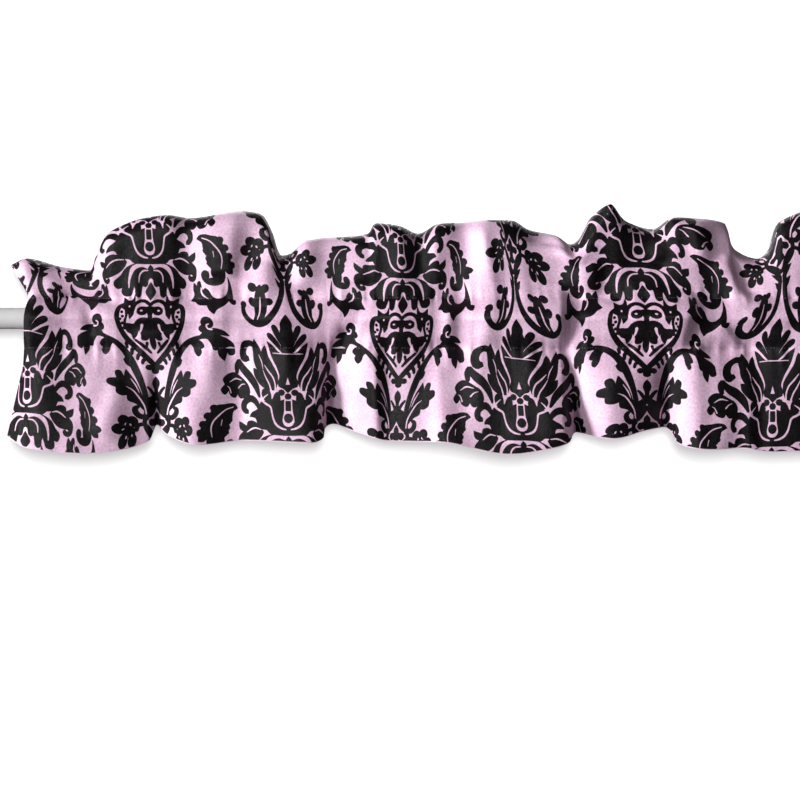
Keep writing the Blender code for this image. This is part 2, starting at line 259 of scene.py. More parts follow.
def unit(rows: Array) -> Array:
    """The rows as vectors of length one."""
    return rows / np.maximum(np.linalg.norm(rows, axis=1, keepdims=True), NEAR_ZERO)


# ----- The hanging sheet -----


@dataclass
class HangingSheet:
    """Where every place of the cut cloth hangs.

    The front surface of the skirt, the pocket and the header is one smooth surface. The header's
    back layer lies behind its front layer, and the pocket's back wall lies behind the rod.
    """

    width: float = 1390.0
    skirt: float = 125.0
    pocket: float = 75.0
    header: float = 122.0
    layer_gap: float = 1.8
    skin: float = 1.1
    upper_stitch: float = 26.0
    lower_stitch: float = -39.0
    roll_radius: float = 24.0
    roll_turn: float = math.radians(115)
    roll_search: int = 30
    snug_radius: float = 16.8
    foot_share: float = 0.55
    foot_draw: float = 0.41
    back_wave_length: float = 130.0
    back_wave_depth: float = 1.5
    pucker_depth: float = 0.55
    pucker_reach: float = 13.0
    ripple_depth: float = 0.55
    ripple_count: int = 14
    seed: int = 7
    view_middle: float = 550.0
    view_distance: float = 2466.0
    place_step: float = 0.5
    slope_step: float = 0.5
    top_margin: float = 0.6
    rod_room: float = 15.8
    rod_ease: float = 1.0
    curves: dict = field(default_factory=dict)

    # How far down the pocket's wall from its upper stitch line each of its bends lies, and how
    # high the four between the stitch lines are.
    pocket_knots = np.array([0.0, 21.6, 32.1, 42.6, 59.7, 75.0])
    knot_rises = (-25.8, -9.6, 0.0, 9.6)
    rod_directions = np.radians([55.0, 90.0, 125.0])
    # The puckers' wave lengths and starts, and the ripples' range of lengths and of slants.
    pucker_waves = ((13.7, 0.3), (17.9, 2.1), (23.3, 4.4), (31.0, 1.2))
    ripple_lengths = (34, 90)
    ripple_slants = (-0.5, 0.5)

    def __post_init__(self) -> None:
        """Fit the curves through the tables and draw the small ripples' directions."""
        tables = (("top", HEADER, ("across", "rise", "forward")),
                  ("", POCKET, ("upper_across", "upper_forward", "slack", "lower_across",
                                "lower_forward")),
                  ("hem", HEM, ("across", "drop", "forward")))
        for part, table, columns in tables:
            for column in columns:
                name = f"{part}_{column}".strip("_")
                self.curves[name] = FoldCurve(table, column)
        draw = np.random.default_rng(self.seed)
        lengths = draw.uniform(*self.ripple_lengths, self.ripple_count)
        angles = draw.uniform(*self.ripple_slants, self.ripple_count)
        self.ripples = np.stack([np.cos(angles), np.sin(angles)]) * 2 * math.pi / lengths
        self.ripple_starts = draw.uniform(0, 2 * math.pi, self.ripple_count)
        self.crease_ends = [np.array([self.place_at(c.across, c.height),
                                      self.place_at(c.end_across, c.end_height)]) for c in CREASES]

    @property
    def lower_run(self) -> float:
        """Run of the lower row of stitches, at the front."""
        return self.skirt

    @property
    def upper_run(self) -> float:
        """Run of the upper row of stitches, at the front."""
        return self.skirt + self.pocket

    @property
    def fold_start(self) -> float:
        """Run at which the header's front layer starts to turn over at the top."""
        return self.upper_run + self.header - 0.5 * self.layer_gap

    @property
    def fold_end(self) -> float:
        """Run at which the header's back layer starts to go down."""
        return self.fold_start + 0.5 * math.pi * self.layer_gap

    @property
    def back_upper_run(self) -> float:
        """Run of the upper row of stitches, at the back."""
        return self.fold_end + self.header - 0.5 * self.layer_gap

    @property
    def length(self) -> float:
        """Run of the last edge, sewn down behind the lower row of stitches."""
        return self.back_upper_run + self.pocket

    def header_roll(self, height: Array) -> tuple[Array, Array]:
        """How the header stands and rolls back so that its highest point is at a height.

        Args:
            height: wanted height above the upper stitches at each place.

        Returns:
            How far it stands, and how far it then turns, in radians.
        """
        spare = self.header - height
        quarter = 0.5 * math.pi
        low, high = np.zeros_like(height), np.full_like(height, quarter)
        for _ in range(self.roll_search):
            turn = 0.5 * (low + high)
            short = self.roll_radius * (turn - np.sin(turn)) < spare
            low, high = np.where(short, turn, low), np.where(short, high, turn)
        over = spare >= self.roll_radius * (quarter - 1)
        full = np.minimum(spare / self.roll_radius + 1, self.roll_turn)
        stand = np.where(over, height - self.roll_radius, self.header - self.roll_radius * turn)
        return stand, np.where(over, full, turn)

    def header_front(self, flat: Array, arc: Array) -> Array:
        """The header's front face.

        Args:
            flat: places along the cloth.
            arc: how far above the upper stitches, along the cloth.

        Returns:
            Points, one row each.
        """
        c = self.curves
        height = c["top_rise"](flat) - self.upper_stitch
        stand, turn = self.header_roll(height)
        reach = stand + self.roll_radius * turn
        arc = np.minimum(arc * np.minimum(reach / self.header, 1.0), reach)
        bend = np.maximum(arc - stand, 0) / self.roll_radius
        rise = np.minimum(arc, stand) + self.roll_radius * np.sin(bend)
        back = self.roll_radius * (1 - np.cos(bend))
        share = np.minimum(arc / height, 1)
        across = mix(c["upper_across"](flat), c["top_across"](flat), share)
        forward = mix(c["upper_forward"](flat), c["top_forward"](flat), share)
        return np.stack([across, back - forward, self.upper_stitch + rise], axis=-1)

    def pocket_wall(self, flat: Array, down: Array, side: int) -> Array:
        """One wall of the pocket, between the rows of stitches.

        Args:
            flat: places along the cloth.
            down: how far below the upper stitches, along the cloth.
            side: -1 for the front wall's outer face, 1 for the back wall's middle.

        Returns:
            Points, one row each.
        """
        c = self.curves
        if side < 0:
            slack, seam, radius = c["slack"](flat), 0.0, self.snug_radius
        else:
            wave = 1 + np.sin(2 * math.pi * flat / self.back_wave_length)
            slack = self.back_wave_depth * wave
            seam = 0.5 * self.skin + self.layer_gap
            radius = self.snug_radius - 0.5 * self.skin
        upper, lower = seam - c["upper_forward"](flat), seam - c["lower_forward"](flat)
        rises = [np.full_like(flat, self.upper_stitch)]
        backs = [upper]
        for direction in self.rod_directions:
            rises.append(np.full_like(flat, radius * math.cos(direction)))
            backs.append(side * (radius + slack) * math.sin(direction))
        rises.append(mix(rises[-1], self.lower_stitch, self.foot_share))
        backs.append(mix(backs[-1], lower, self.foot_draw))
        rises.append(np.full_like(flat, self.lower_stitch))
        backs.append(lower)
        rise = self.through_knots(np.array(rises), down)
        back = self.through_knots(np.array(backs), down)
        share = (self.upper_stitch - rise) / (self.upper_stitch - self.lower_stitch)
        across = mix(c["upper_across"](flat), c["lower_across"](flat), share)
        return np.stack([across, back, rise], axis=-1)

    def through_knots(self, values: Array, down: Array) -> Array:
        """A smooth curve through the values at the pocket's knots.

        Args:
            values: one row for each knot, one column for each place.
            down: how far down the wall each place is.

        Returns:
            The value at each place.
        """
        knots = self.pocket_knots
        gaps = np.diff(knots)[:, None]
        rate = np.diff(values, axis=0) / gaps
        slope = np.empty_like(values)
        slope[0], slope[-1] = rate[0], rate[-1]
        slope[1:-1] = (rate[:-1] * gaps[1:] + rate[1:] * gaps[:-1]) / (gaps[1:] + gaps[:-1])
        k = np.clip(np.searchsorted(knots, down) - 1, 0, len(knots) - 2)
        column = np.arange(values.shape[1])
        t = (down - knots[k]) / gaps[k, 0]
        rise, bend = cubic(t, slope[k, column], slope[k + 1, column])
        return mix(values[k, column], values[k + 1, column], rise) + gaps[k, 0] * bend

    def skirt_front(self, flat: Array, run: Array) -> Array:
        """The skirt's front face, at a run up from the hem, as points."""
        c = self.curves
        share = 1 - run / self.skirt
        across = mix(c["lower_across"](flat), c["hem_across"](flat), share)
        forward = mix(c["lower_forward"](flat), c["hem_forward"](flat), share)
        drop = mix(-self.lower_stitch, c["hem_drop"](flat), share)
        return np.stack([across, -forward, -drop], axis=-1)

    def relief(self, flat: Array, run: Array) -> Array:
        """How far the creases, puckers and ripples lift the front face off its folds."""
        lift = np.zeros_like(flat)
        for crease, (start, end) in zip(CREASES, self.crease_ends):
            reach = math.dist(start, end)
            along = (end - start) / reach
            off_flat, off_run = flat - start[0], run - start[1]
            t = (off_flat * along[0] + off_run * along[1]) / reach
            aside = off_run * along[0] - off_flat * along[1]
            aside = aside / np.where(aside < 0, crease.left, crease.right)
            taper = np.clip(1 - (2 * t - 1) ** 4, 0, 1)
            lift += crease.depth * taper * np.exp(-aside * aside)
        pucker = sum(np.sin(2 * math.pi * flat / length + start)
                     for length, start in self.pucker_waves)
        for seam in (self.lower_run, self.upper_run):
            lift += self.pucker_depth * pucker * np.exp(-np.abs(run - seam) / self.pucker_reach)
        phase = (np.multiply.outer(flat, self.ripples[0]) + np.multiply.outer(run, self.ripples[1])
                 + self.ripple_starts)
        lift += self.ripple_depth * np.sin(phase).sum(axis=-1) / math.sqrt(self.ripple_count)
        return lift

    def front_folds(self, flat: Array, run: Array) -> Array:
        """The main folds of everything in front: skirt, pocket and header, as points."""
        arc = np.clip(run - self.upper_run, 0, self.header)
        down = np.clip(self.upper_run - run, 0, self.pocket)
        low = np.clip(run, 0, self.skirt)
        return np.where((run > self.upper_run)[:, None], self.header_front(flat, arc),
                        np.where((run > self.skirt)[:, None],
                                 self.pocket_wall(flat, down, -1), self.skirt_front(flat, low)))

    def front_face(self, flat: Array, run: Array) -> Array:
        """The outer face of everything in front, with its relief, clear of the rod, as points."""
        points = self.front_folds(flat, run)
        points[:, 1] -= self.relief(flat, run)
        reach = np.hypot(points[:, 1], points[:, 2])
        spare = reach - self.rod_room
        pushed = self.rod_room + 0.5 * (spare + np.hypot(spare, self.rod_ease))
        points[:, 1:] *= (pushed / reach)[:, None]
        return points

    def normals_of(self, face, flat: Array, run: Array, step: float) -> Array:
        """Unit normals of a face, turned to the printed side.

        Args:
            face: a method that gives points for places of the cloth.
            flat: places along the cloth.
            run: places up the cloth.
            step: how far apart the points are that the slope is read from.

        Returns:
            One unit normal for each place.
        """
        left = face(np.clip(flat - step, 0, self.width), run)
        right = face(np.clip(flat + step, 0, self.width), run)
        below = face(flat, np.maximum(run - step, 0))
        above = face(flat, np.minimum(run + step, self.length))
        return unit(np.cross(right - left, above - below))

    def middle(self, flat: Array, run: Array) -> Array:
        """The middle of the cloth's thickness, along the whole run, as points."""
        depth = np.full_like(run, 0.5 * self.skin)
        turn = np.clip((run - self.fold_start) / (0.5 * self.layer_gap), 0, math.pi)
        folded = run > self.fold_start
        front_run = np.minimum(run, self.fold_start)
        arc = np.where(run > self.fold_end, run - self.fold_end, 0.0)
        front_run = np.where(folded, self.fold_start + 0.5 * self.layer_gap * np.sin(turn) - arc,
                             front_run)
        depth += np.where(folded, 0.5 * self.layer_gap * (1 - np.cos(turn)), 0)
        below_top = np.minimum(front_run, self.upper_run + self.header - self.top_margin)
        normal = self.normals_of(self.front_face, flat, below_top, self.slope_step)
        points = self.front_face(flat, front_run) - normal * depth[:, None]
        behind = run > self.back_upper_run
        if behind.any():
            points[behind] = self.pocket_wall(flat[behind], run[behind] - self.back_upper_run, 1)
        return points

    def run_at_height(self, flat: Array, height: Array) -> Array:
        """The run at which the flat front is at a height, and straight on over the top.

        Args:
            flat: places along the cloth.
            height: heights above the rod's axis.

        Returns:
            The run for each; it can be off the cloth.
        """
        drop = self.curves["hem_drop"](flat)
        share = (self.lower_stitch - height) / (drop + self.lower_stitch)
        in_skirt = self.skirt * (1 - share)
        rises = [self.lower_stitch, *self.knot_rises, self.upper_stitch]
        in_pocket = np.interp(height, rises, self.upper_run - self.pocket_knots[::-1])
        above = self.upper_run + height - self.upper_stitch
        return np.where(height > self.upper_stitch, above,
                        np.where(height > self.lower_stitch, in_pocket, in_skirt))

    def flat_at(self, across: Array, height: float) -> Array:
        """The place along the cut cloth that shows from the front at places along the frame.

        Args:
            across: how far along the frame, as it shows on the plane of the rod's axis.
            height: the height above the rod's axis.

        Returns:
            The place for each; it can be off the cloth.
        """
        flats = np.arange(0, self.width + self.place_step, self.place_step)
        runs = self.run_at_height(flats, np.full_like(flats, height))
        points = self.front_folds(flats, np.clip(runs, 0, self.fold_start))
        nearer = self.view_distance / (self.view_distance + points[:, 1])
        shows = self.view_middle + (points[:, 0] - self.view_middle) * nearer
        shows = np.maximum.accumulate(shows)
        off = np.minimum(across - shows[0], 0) + np.maximum(across - shows[-1], 0)
        return np.interp(across, shows, flats) + off

    def place_at(self, across: float, height: float) -> Pair:
        """The place (flat, run) of the cut cloth that shows at a place of the frame."""
        flat = self.flat_at(np.array([across]), height)
        run = self.run_at_height(np.clip(flat, 0, self.width), np.array([height]))
        return float(flat[0]), float(run[0])


# ----- The damask print -----


class Ink(Enum):
    """What a mark of the chart leaves: black, or the bare pink ground."""

    BLACK = 1
    BARE = 0


class Lay(Enum):
    """How a mark lies to the motif's middle line."""

    PAIR = "drawn twice, on both sides"
    ASTRIDE = "its right half is given, and the outline closes over the middle line"
    SINGLE = "drawn once, as given"


def open_curve(points: Array, spacing: float) -> Array:
    """A smooth curve through points, sampled evenly enough.

    Args:
        points: two or more points.
        spacing: the longest step between samples.

    Returns:
        The samples, both ends included.
    """
    if len(points) < 3:
        steps = max(1, math.ceil(np.linalg.norm((points[-1] - points[0])[:2]) / spacing))
        return np.array([mix(points[0], points[-1], k / steps) for k in range(steps + 1)])
    padded = np.vstack([2 * points[0] - points[1], points, 2 * points[-1] - points[-2]])
    samples = [points[0]]
    for k in range(1, len(points)):
        before, start, end, after = padded[k - 1:k + 3]
        steps = max(1, math.ceil(np.linalg.norm((end - start)[:2]) / spacing))
        for j in range(1, steps + 1):
            t = j / steps
            samples.append(0.5 * (2 * start + (end - before) * t
                                  + (2 * before - 5 * start + 4 * end - after) * t * t
                                  + (3 * start - before - 3 * end + after) * t ** 3))
    return np.array(samples)


@dataclass(frozen=True)
class Shape:
    """A closed form, smooth all round but at the points that have a third number, its corners."""

    ink: Ink
    points: tuple
    lay: Lay = Lay.PAIR

    def outline(self, spacing: float) -> Array:
        """The closed outline, as points on the chart."""
        rows = [(p[0], p[1], len(p) > 2) for p in self.points]
        if self.lay is Lay.ASTRIDE:
            rows = rows + [(-x, y, corner) for x, y, corner in rows[::-1] if abs(x) > NEAR_ZERO]
        corners = [k for k, row in enumerate(rows) if row[2]]
        xy = np.array([row[:2] for row in rows], float)
        if not corners:
            looped = np.vstack([xy[-1], xy, xy[:2]])
            curve = open_curve(looped, spacing)
            meets = np.where((np.abs(curve - xy[0]) < NEAR_ZERO).all(axis=1))[0]
            return curve[meets[0]:meets[-1]]
        turned = np.roll(xy, -corners[0], axis=0)
        marks = [k - corners[0] for k in corners] + [len(rows)]
        turned = np.vstack([turned, turned[0]])
        pieces = [open_curve(turned[a:b + 1], spacing)[:-1] for a, b in zip(marks, marks[1:])]
        return np.vstack(pieces)


@dataclass(frozen=True)
class Brush:
    """A stroke along a path, as thick at each point as its share of the full width says."""

    ink: Ink
    path: tuple
    widths: tuple
    lay: Lay = Lay.PAIR
    least_half = 0.15

    def outline(self, spacing: float) -> Array:
        """The stroke's closed outline with round ends, as points on the chart."""
        path = np.array(self.path, float)
        full = open_curve(np.column_stack([path, np.array(self.widths, float)]), spacing)
        line, half = full[:, :2], np.maximum(full[:, 2], self.least_half)
        tangent = unit(np.gradient(line, axis=0))
        side = np.column_stack([-tangent[:, 1], tangent[:, 0]]) * half[:, None]
        start = line[0] - tangent[0] * half[0]
        end = line[-1] + tangent[-1] * half[-1]
        return np.vstack([start, line + side, end, (line - side)[::-1]])


@dataclass(frozen=True)
class Drop:
    """An oval, tilted by an angle in degrees. One off the middle line is drawn on both sides."""

    ink: Ink
    x: float
    y: float
    across: float
    down: float
    tilt: float = 0.0

    @property
    def lay(self) -> Lay:
        """A pair unless it is on the middle line."""
        return Lay.PAIR if abs(self.x) > NEAR_ZERO else Lay.SINGLE

    def outline(self, spacing: float) -> Array:
        """The oval's outline, as points on the chart."""
        count = max(8, math.ceil(2 * math.pi * max(self.across, self.down) / spacing))
        angle = np.arange(count) * 2 * math.pi / count
        x, y = self.across * np.cos(angle), self.down * np.sin(angle)
        c, s = math.cos(math.radians(self.tilt)), math.sin(math.radians(self.tilt))
        return np.column_stack([self.x + c * x - s * y, self.y + s * x + c * y])


def drops(ink: Ink, *rows: tuple[float, ...]) -> list[Drop]:
    """Several ovals of one ink."""
    return [Drop(ink, *row) for row in rows]


BLACK, BARE = Ink.BLACK, Ink.BARE
ASTRIDE, SINGLE = Lay.ASTRIDE, Lay.SINGLE

# The chart of one repeat, in chart steps from the foot of the lotus, x to the right and y down.
LOTUS = (
    Brush(BLACK, ((27, -24), (32, -31), (38, -33.5), (43.5, -29.5), (44, -23.5), (41, -20)),
          (1.4, 2.6, 3.2, 2.8, 2.3, 2.2)),
    Shape(BLACK, ((0, 1), (10, 0.8), (16, 0.2), (20, -3.5), (25, -4.5), (29, -9), (31.5, -14.5),
          (38, -15.5, 1), (35.5, -19.5), (31, -22), (28.5, -24, 1), (26, -30.5, 1), (21, -32),
          (17, -34), (12, -34), (8, -33), (3.5, -34.5), (0, -34.5)), ASTRIDE),
    Shape(BLACK, ((16.5, -32), (16.5, -39.5), (19.5, -44.5), (24, -43.5), (25, -39), (23.5, -35.5),
          (21, -32))),
    Shape(BLACK, ((8, -32), (8, -42, 1), (11.5, -41), (13.5, -37), (14.5, -32))),
    Brush(BARE, ((19, -39), (22.5, -36), (24.5, -32.5), (21, -29.5), (16.5, -26.5), (15.2, -21),
          (13.8, -14.5), (11, -9), (6.5, -5.8), (2.4, -4.8)),
          (0.4, 0.8, 1.0, 1.1, 1.0, 0.8, 0.9, 1.1, 1.1, 0.7)),
    Shape(BARE, ((0, -7.5), (3.6, -8.8), (5.5, -13), (5, -18), (4, -24), (3.7, -35, 1), (0, -35)),
          ASTRIDE),
    Shape(BLACK, ((0, -23.5), (2.2, -23.5, 1), (2.2, -33, 1), (0, -33)), ASTRIDE),
    *drops(BLACK, (0, -16, 3.8, 4.5), (0, -37.8, 2.9, 2.9), (6.2, -41.5, 2.9, 2.9)),
)

VASE = (
    Shape(BLACK, ((0, -41.5, 1), (4, -45.5), (8.6, -48), (8.8, -53), (7.6, -58), (10.5, -67),
          (16, -78), (20, -92, 1), (15, -88), (10.5, -83), (6.5, -80.5), (0, -80.5)), ASTRIDE),
    Shape(BLACK, ((4, -80.5, 1), (8, -84.5), (12.5, -89.5), (18.8, -96.5), (18.6, -100),
          (15.5, -99.5), (10.5, -94), (6.5, -87.5), (3.5, -82))),
    Shape(BLACK, ((0, -80), (3.5, -82), (5.5, -88), (9.5, -95), (13, -102), (14, -107),
          (11.5, -108.5), (9, -106), (6.8, -101, 1), (5.4, -105), (5.6, -110), (3, -115),
          (0, -119, 1)), ASTRIDE),
    Brush(BARE, ((-14.5, -80.6), (0, -80.2), (14.5, -80.6)), (0.5, 0.6, 0.5), SINGLE),
    Shape(BARE, ((0, -49.5), (2.2, -49.5, 1), (0, -57, 1)), ASTRIDE),
    # The acanthus leaves, their curls and veins.
    Shape(BLACK, ((12, -44, 1), (9.8, -52), (10.5, -61), (14.5, -70), (19, -77.5), (23, -87.5, 1),
          (26, -83), (27, -76, 1), (28, -83), (34, -93, 1), (36.5, -86), (35.5, -79), (34.5, -71),
          (31, -63, 1), (35, -64, 1), (33.5, -57), (28, -49.5), (22, -45), (17, -43.5))),
    Brush(BLACK, ((34, -86.5), (39.5, -89), (45, -87), (47.5, -80.5), (46, -75), (42.5, -73)),
          (2.0, 2.6, 3.2, 3.5, 3.4, 3.0)),
    Brush(BARE, ((21, -86), (18.5, -78), (14.5, -71), (10.5, -63), (8.6, -57)),
          (0.6, 1.0, 1.1, 0.8, 0.4)),
    Brush(BARE, ((23, -68), (18.8, -62), (14.5, -56.5), (12.3, -50), (12, -44)),
          (0.4, 0.8, 0.8, 0.7, 0.9)),
    Brush(BARE, ((24.5, -63), (21.2, -55.5), (18, -49.5), (16, -43)), (0.3, 0.7, 0.7, 0.8)),
    Brush(BARE, ((29.5, -78), (26, -71), (24.5, -64)), (0.3, 0.6, 0.3)),
    # The long leaf and the lobed cluster beside it.
    Brush(BLACK, ((27.5, -36), (32, -46.5), (39, -55.5), (46, -63), (52.5, -70.5)),
          (0.8, 3.0, 3.4, 3.2, 3.0)),
    Brush(BLACK, ((52.5, -71), (54.5, -67), (54, -59.5)), (2.4, 3.2, 2.0)),
    Shape(BLACK, ((38.5, -41), (41, -47.5), (46, -53), (52, -57), (58, -59.5), (64, -58),
          (68, -53), (66, -47.5, 1), (69, -42), (65.5, -37.5), (62, -41.5, 1), (59.5, -36.5),
          (54.5, -34.5), (51.5, -38, 1), (48, -34), (43, -34.5), (39.5, -36))),
    Brush(BARE, ((62, -50), (55.5, -53.5), (48, -52)), (0.4, 0.9, 0.4)),
    Brush(BARE, ((51, -44), (47.5, -47.5), (44, -48)), (0.9, 0.7, 0.4)),
    Brush(BARE, ((59.5, -39), (61.5, -44), (64, -46)), (0.7, 0.6, 0.3)),
)

SCROLLS = (
    Brush(BLACK, ((2.4, -162), (3.2, -148), (4.6, -137), (8, -126), (13.5, -117), (20.5, -110.5),
          (28.5, -108.5), (35.5, -111.5), (39.8, -118), (40.3, -125)),
          (1.8, 2.1, 2.1, 2.3, 2.6, 2.8, 2.7, 2.3, 1.9, 1.5)),
    Drop(BLACK, 39.2, -127.5, 2.6, 3.3),
    # The lobed sprig inside the scroll.
    Brush(BLACK, ((22, -146), (22, -138), (22.5, -127), (24, -117), (29, -109.5)),
          (2.2, 4.2, 5.6, 4.4, 2.6)),
    *drops(BLACK, (17.8, -144.5, 3.0, 4.6, -24), (29.0, -145.5, 4.0, 4.4, 30),
           (15.2, -131.5, 3.6, 3.6), (29.5, -130.5, 3.4, 4.8, 14)),
    Brush(BARE, ((21.8, -136), (22.6, -127), (24, -119), (27, -113)), (0.4, 0.8, 0.7, 0.4)),
    Shape(BLACK, ((0.4, -155, 1), (5.5, -162), (10.8, -172.5, 1), (5, -168.5), (1.5, -164))),
    Shape(BLACK, ((1, -146, 1), (6, -151), (8.8, -160, 1), (4.5, -156.5), (2, -153))),
    Brush(BLACK, ((20.5, -181), (19, -186), (14, -187.5), (9, -183.5), (4.5, -175), (1.5, -166)),
          (1.3, 1.5, 1.5, 1.4, 1.3, 1.2)),
    # The flower: round petals above, two long ones below, and a pale dot in each.
    *drops(BLACK, (27.5, -180, 5.8, 6.5), (23.5, -189.5, 4.6, 5.4, -10), (31, -191, 5.0, 4.8, 20),
           (35.5, -182, 5.0, 5.2), (32.5, -169.5, 3.4, 8.0, -16), (24.5, -170.5, 3.1, 7.2, -12)),
    *drops(BARE, (25, -186.5, 0.9, 1.5, 30), (29.5, -187, 0.8, 1.5, -25),
           (32, -181.5, 1.6, 0.8, 35), (29.5, -173.5, 0.8, 2.0, -20),
           (24.3, -175.5, 0.7, 1.5, -15)),
)

FRINGE = (
    # The side palmettes.
    Shape(BLACK, ((23, -1, 1), (28.5, -8), (34, -11), (39.5, -10.5), (41, -6, 1), (48.5, -10.5, 1),
          (47.8, -4), (44, -0.5, 1), (48, 4.5), (48.3, 10.5), (46.5, 16), (43, 18.5), (39.5, 17),
          (39, 13.5), (41.5, 11.5, 1), (35, 11), (29.5, 8), (25.5, 3.8))),
    Brush(BARE, ((25.5, -3.3), (31, -4.6), (36, -3), (40.5, 0)), (0.5, 0.9, 0.9, 0.5)),
    Drop(BARE, 42.5, 12.4, 1.4, 0.9, 20),
    # The fan of petals under the lotus.
    Shape(BLACK, ((0, 4), (6, 2.5), (12, 1), (18, 2), (25, 6), (29.5, 12.5), (34.5, 17),
          (35, 21.5), (32.5, 25.3), (28.5, 24.5, 1), (29, 30), (26.5, 33.3), (20.5, 33),
          (18.5, 28.5), (17, 23.5, 1), (15.5, 26), (15, 32), (12.5, 34.5), (10, 32.5),
          (9, 24.5, 1), (8, 23), (5.5, 24), (3.4, 22), (2.6, 17), (0, 15)), ASTRIDE),
    Shape(BARE, ((0, 1.2), (8, 0.8), (14, 1.2), (19, 4.2), (21.8, 10), (23, 18), (22.6, 25.5),
          (21.6, 25.5), (20.8, 18), (18.5, 11), (14.5, 6.2), (9, 4.2), (4, 5.8), (0, 7.5)),
          ASTRIDE),
    Shape(BLACK, ((0, 2.2, 1), (2.5, 6), (0, 10)), ASTRIDE),
    Brush(BARE, ((3, 7.6), (8, 8.2), (11.5, 12.5), (12.2, 19.5)), (0.7, 0.9, 0.8, 0.5)),
    Shape(BLACK, ((0, 19.5, 1), (3, 24.5), (5, 29.5), (2.5, 34), (0, 37.5, 1)), ASTRIDE),
)

MEDALLION = (
    Brush(BLACK, ((0, 42.8), (3.6, 39.6), (8, 38.2), (12.5, 39.8), (15.5, 43.5), (16.5, 49)),
          (1.3, 1.4, 1.4, 1.4, 1.3, 0.8)),
    Shape(BLACK, ((15.5, 31.5, 1), (18, 37.5), (22, 38.5), (27, 35, 1), (26.8, 41), (29, 44.5),
          (24.5, 48, 1), (21.5, 50), (19.5, 57, 1), (16, 52), (16.5, 46), (15.5, 40))),
    Drop(BARE, 20.5, 44.5, 1.0, 1.3),
    Brush(BLACK, ((26, 42), (30.3, 45), (31.8, 51), (31, 58.5), (28, 67.5), (22.7, 77), (16, 85),
          (7.5, 95), (0, 103)), (1.2, 1.7, 1.8, 1.7, 1.9, 2.3, 2.3, 2.3, 2.0)),
    # The lace along the sides.
    Brush(BLACK, ((23.3, 48), (22.8, 54), (24.3, 60), (24, 66)), (1.3, 0.9, 0.9, 1.3)),
    *drops(BLACK, (27.6, 50, 1.0, 1.2, 30), (26.4, 54.5, 1.1, 1.1), (28.4, 57, 0.9, 1.0),
           (26.6, 61.2, 1.0, 1.2, -20), (25.4, 66, 1.1, 1.0)),
    # The two spirals and the small tree below them.
    Shape(BLACK, ((0, 44.2), (4, 45), (8.5, 44.6), (12.3, 47), (12.2, 51), (8.5, 52.8),
          (4.5, 51.8), (3.2, 50.2, 1), (1.7, 53), (2, 57), (0, 59)), ASTRIDE),
    Drop(BARE, 8.6, 48.4, 1.5, 1.1),
    Shape(BLACK, ((0, 57.5), (3, 56), (7.5, 55.6), (12.5, 58), (16, 62), (22.5, 61.5), (23.5, 66),
          (21.5, 70), (18.5, 71.5), (17, 77, 1), (13.5, 72.5), (12, 67.5, 1), (9.5, 72), (9.6, 77),
          (5.5, 77.5), (2.6, 75, 1), (2.2, 83), (0, 87)), ASTRIDE),
    Brush(BARE, ((8.2, 62.5), (9, 66.5), (11.5, 71.5), (14.5, 76.5)), (1.5, 1.1, 0.7, 0.7)),
    Brush(BLACK, ((15.5, 77.5), (9, 83.5), (3.2, 90)), (0.8, 1.3, 0.7)),
    Brush(BLACK, ((5.5, 80), (6.5, 84)), (1.0, 0.6)),
    # The hooks along the lower sides.
    Brush(BLACK, ((21.5, 78), (24, 81.5), (23.5, 85.5)), (1.6, 1.4, 0.8)),
    Brush(BLACK, ((16.5, 84.5), (19.5, 87.5), (20, 92)), (1.5, 1.4, 1.0)),
    Brush(BLACK, ((11.5, 90), (14.5, 93), (15.5, 97)), (1.5, 1.4, 1.0)),
    Brush(BLACK, ((7.5, 95.5), (10.5, 98), (11.5, 101)), (1.5, 1.3, 1.0)),
    *drops(BLACK, (0, 104.5, 3.4, 3.2), (6, 104.8, 3.0, 2.5)),
    Shape(BLACK, ((0, 105), (3, 106), (3.2, 109.5), (0, 111)), ASTRIDE),
)

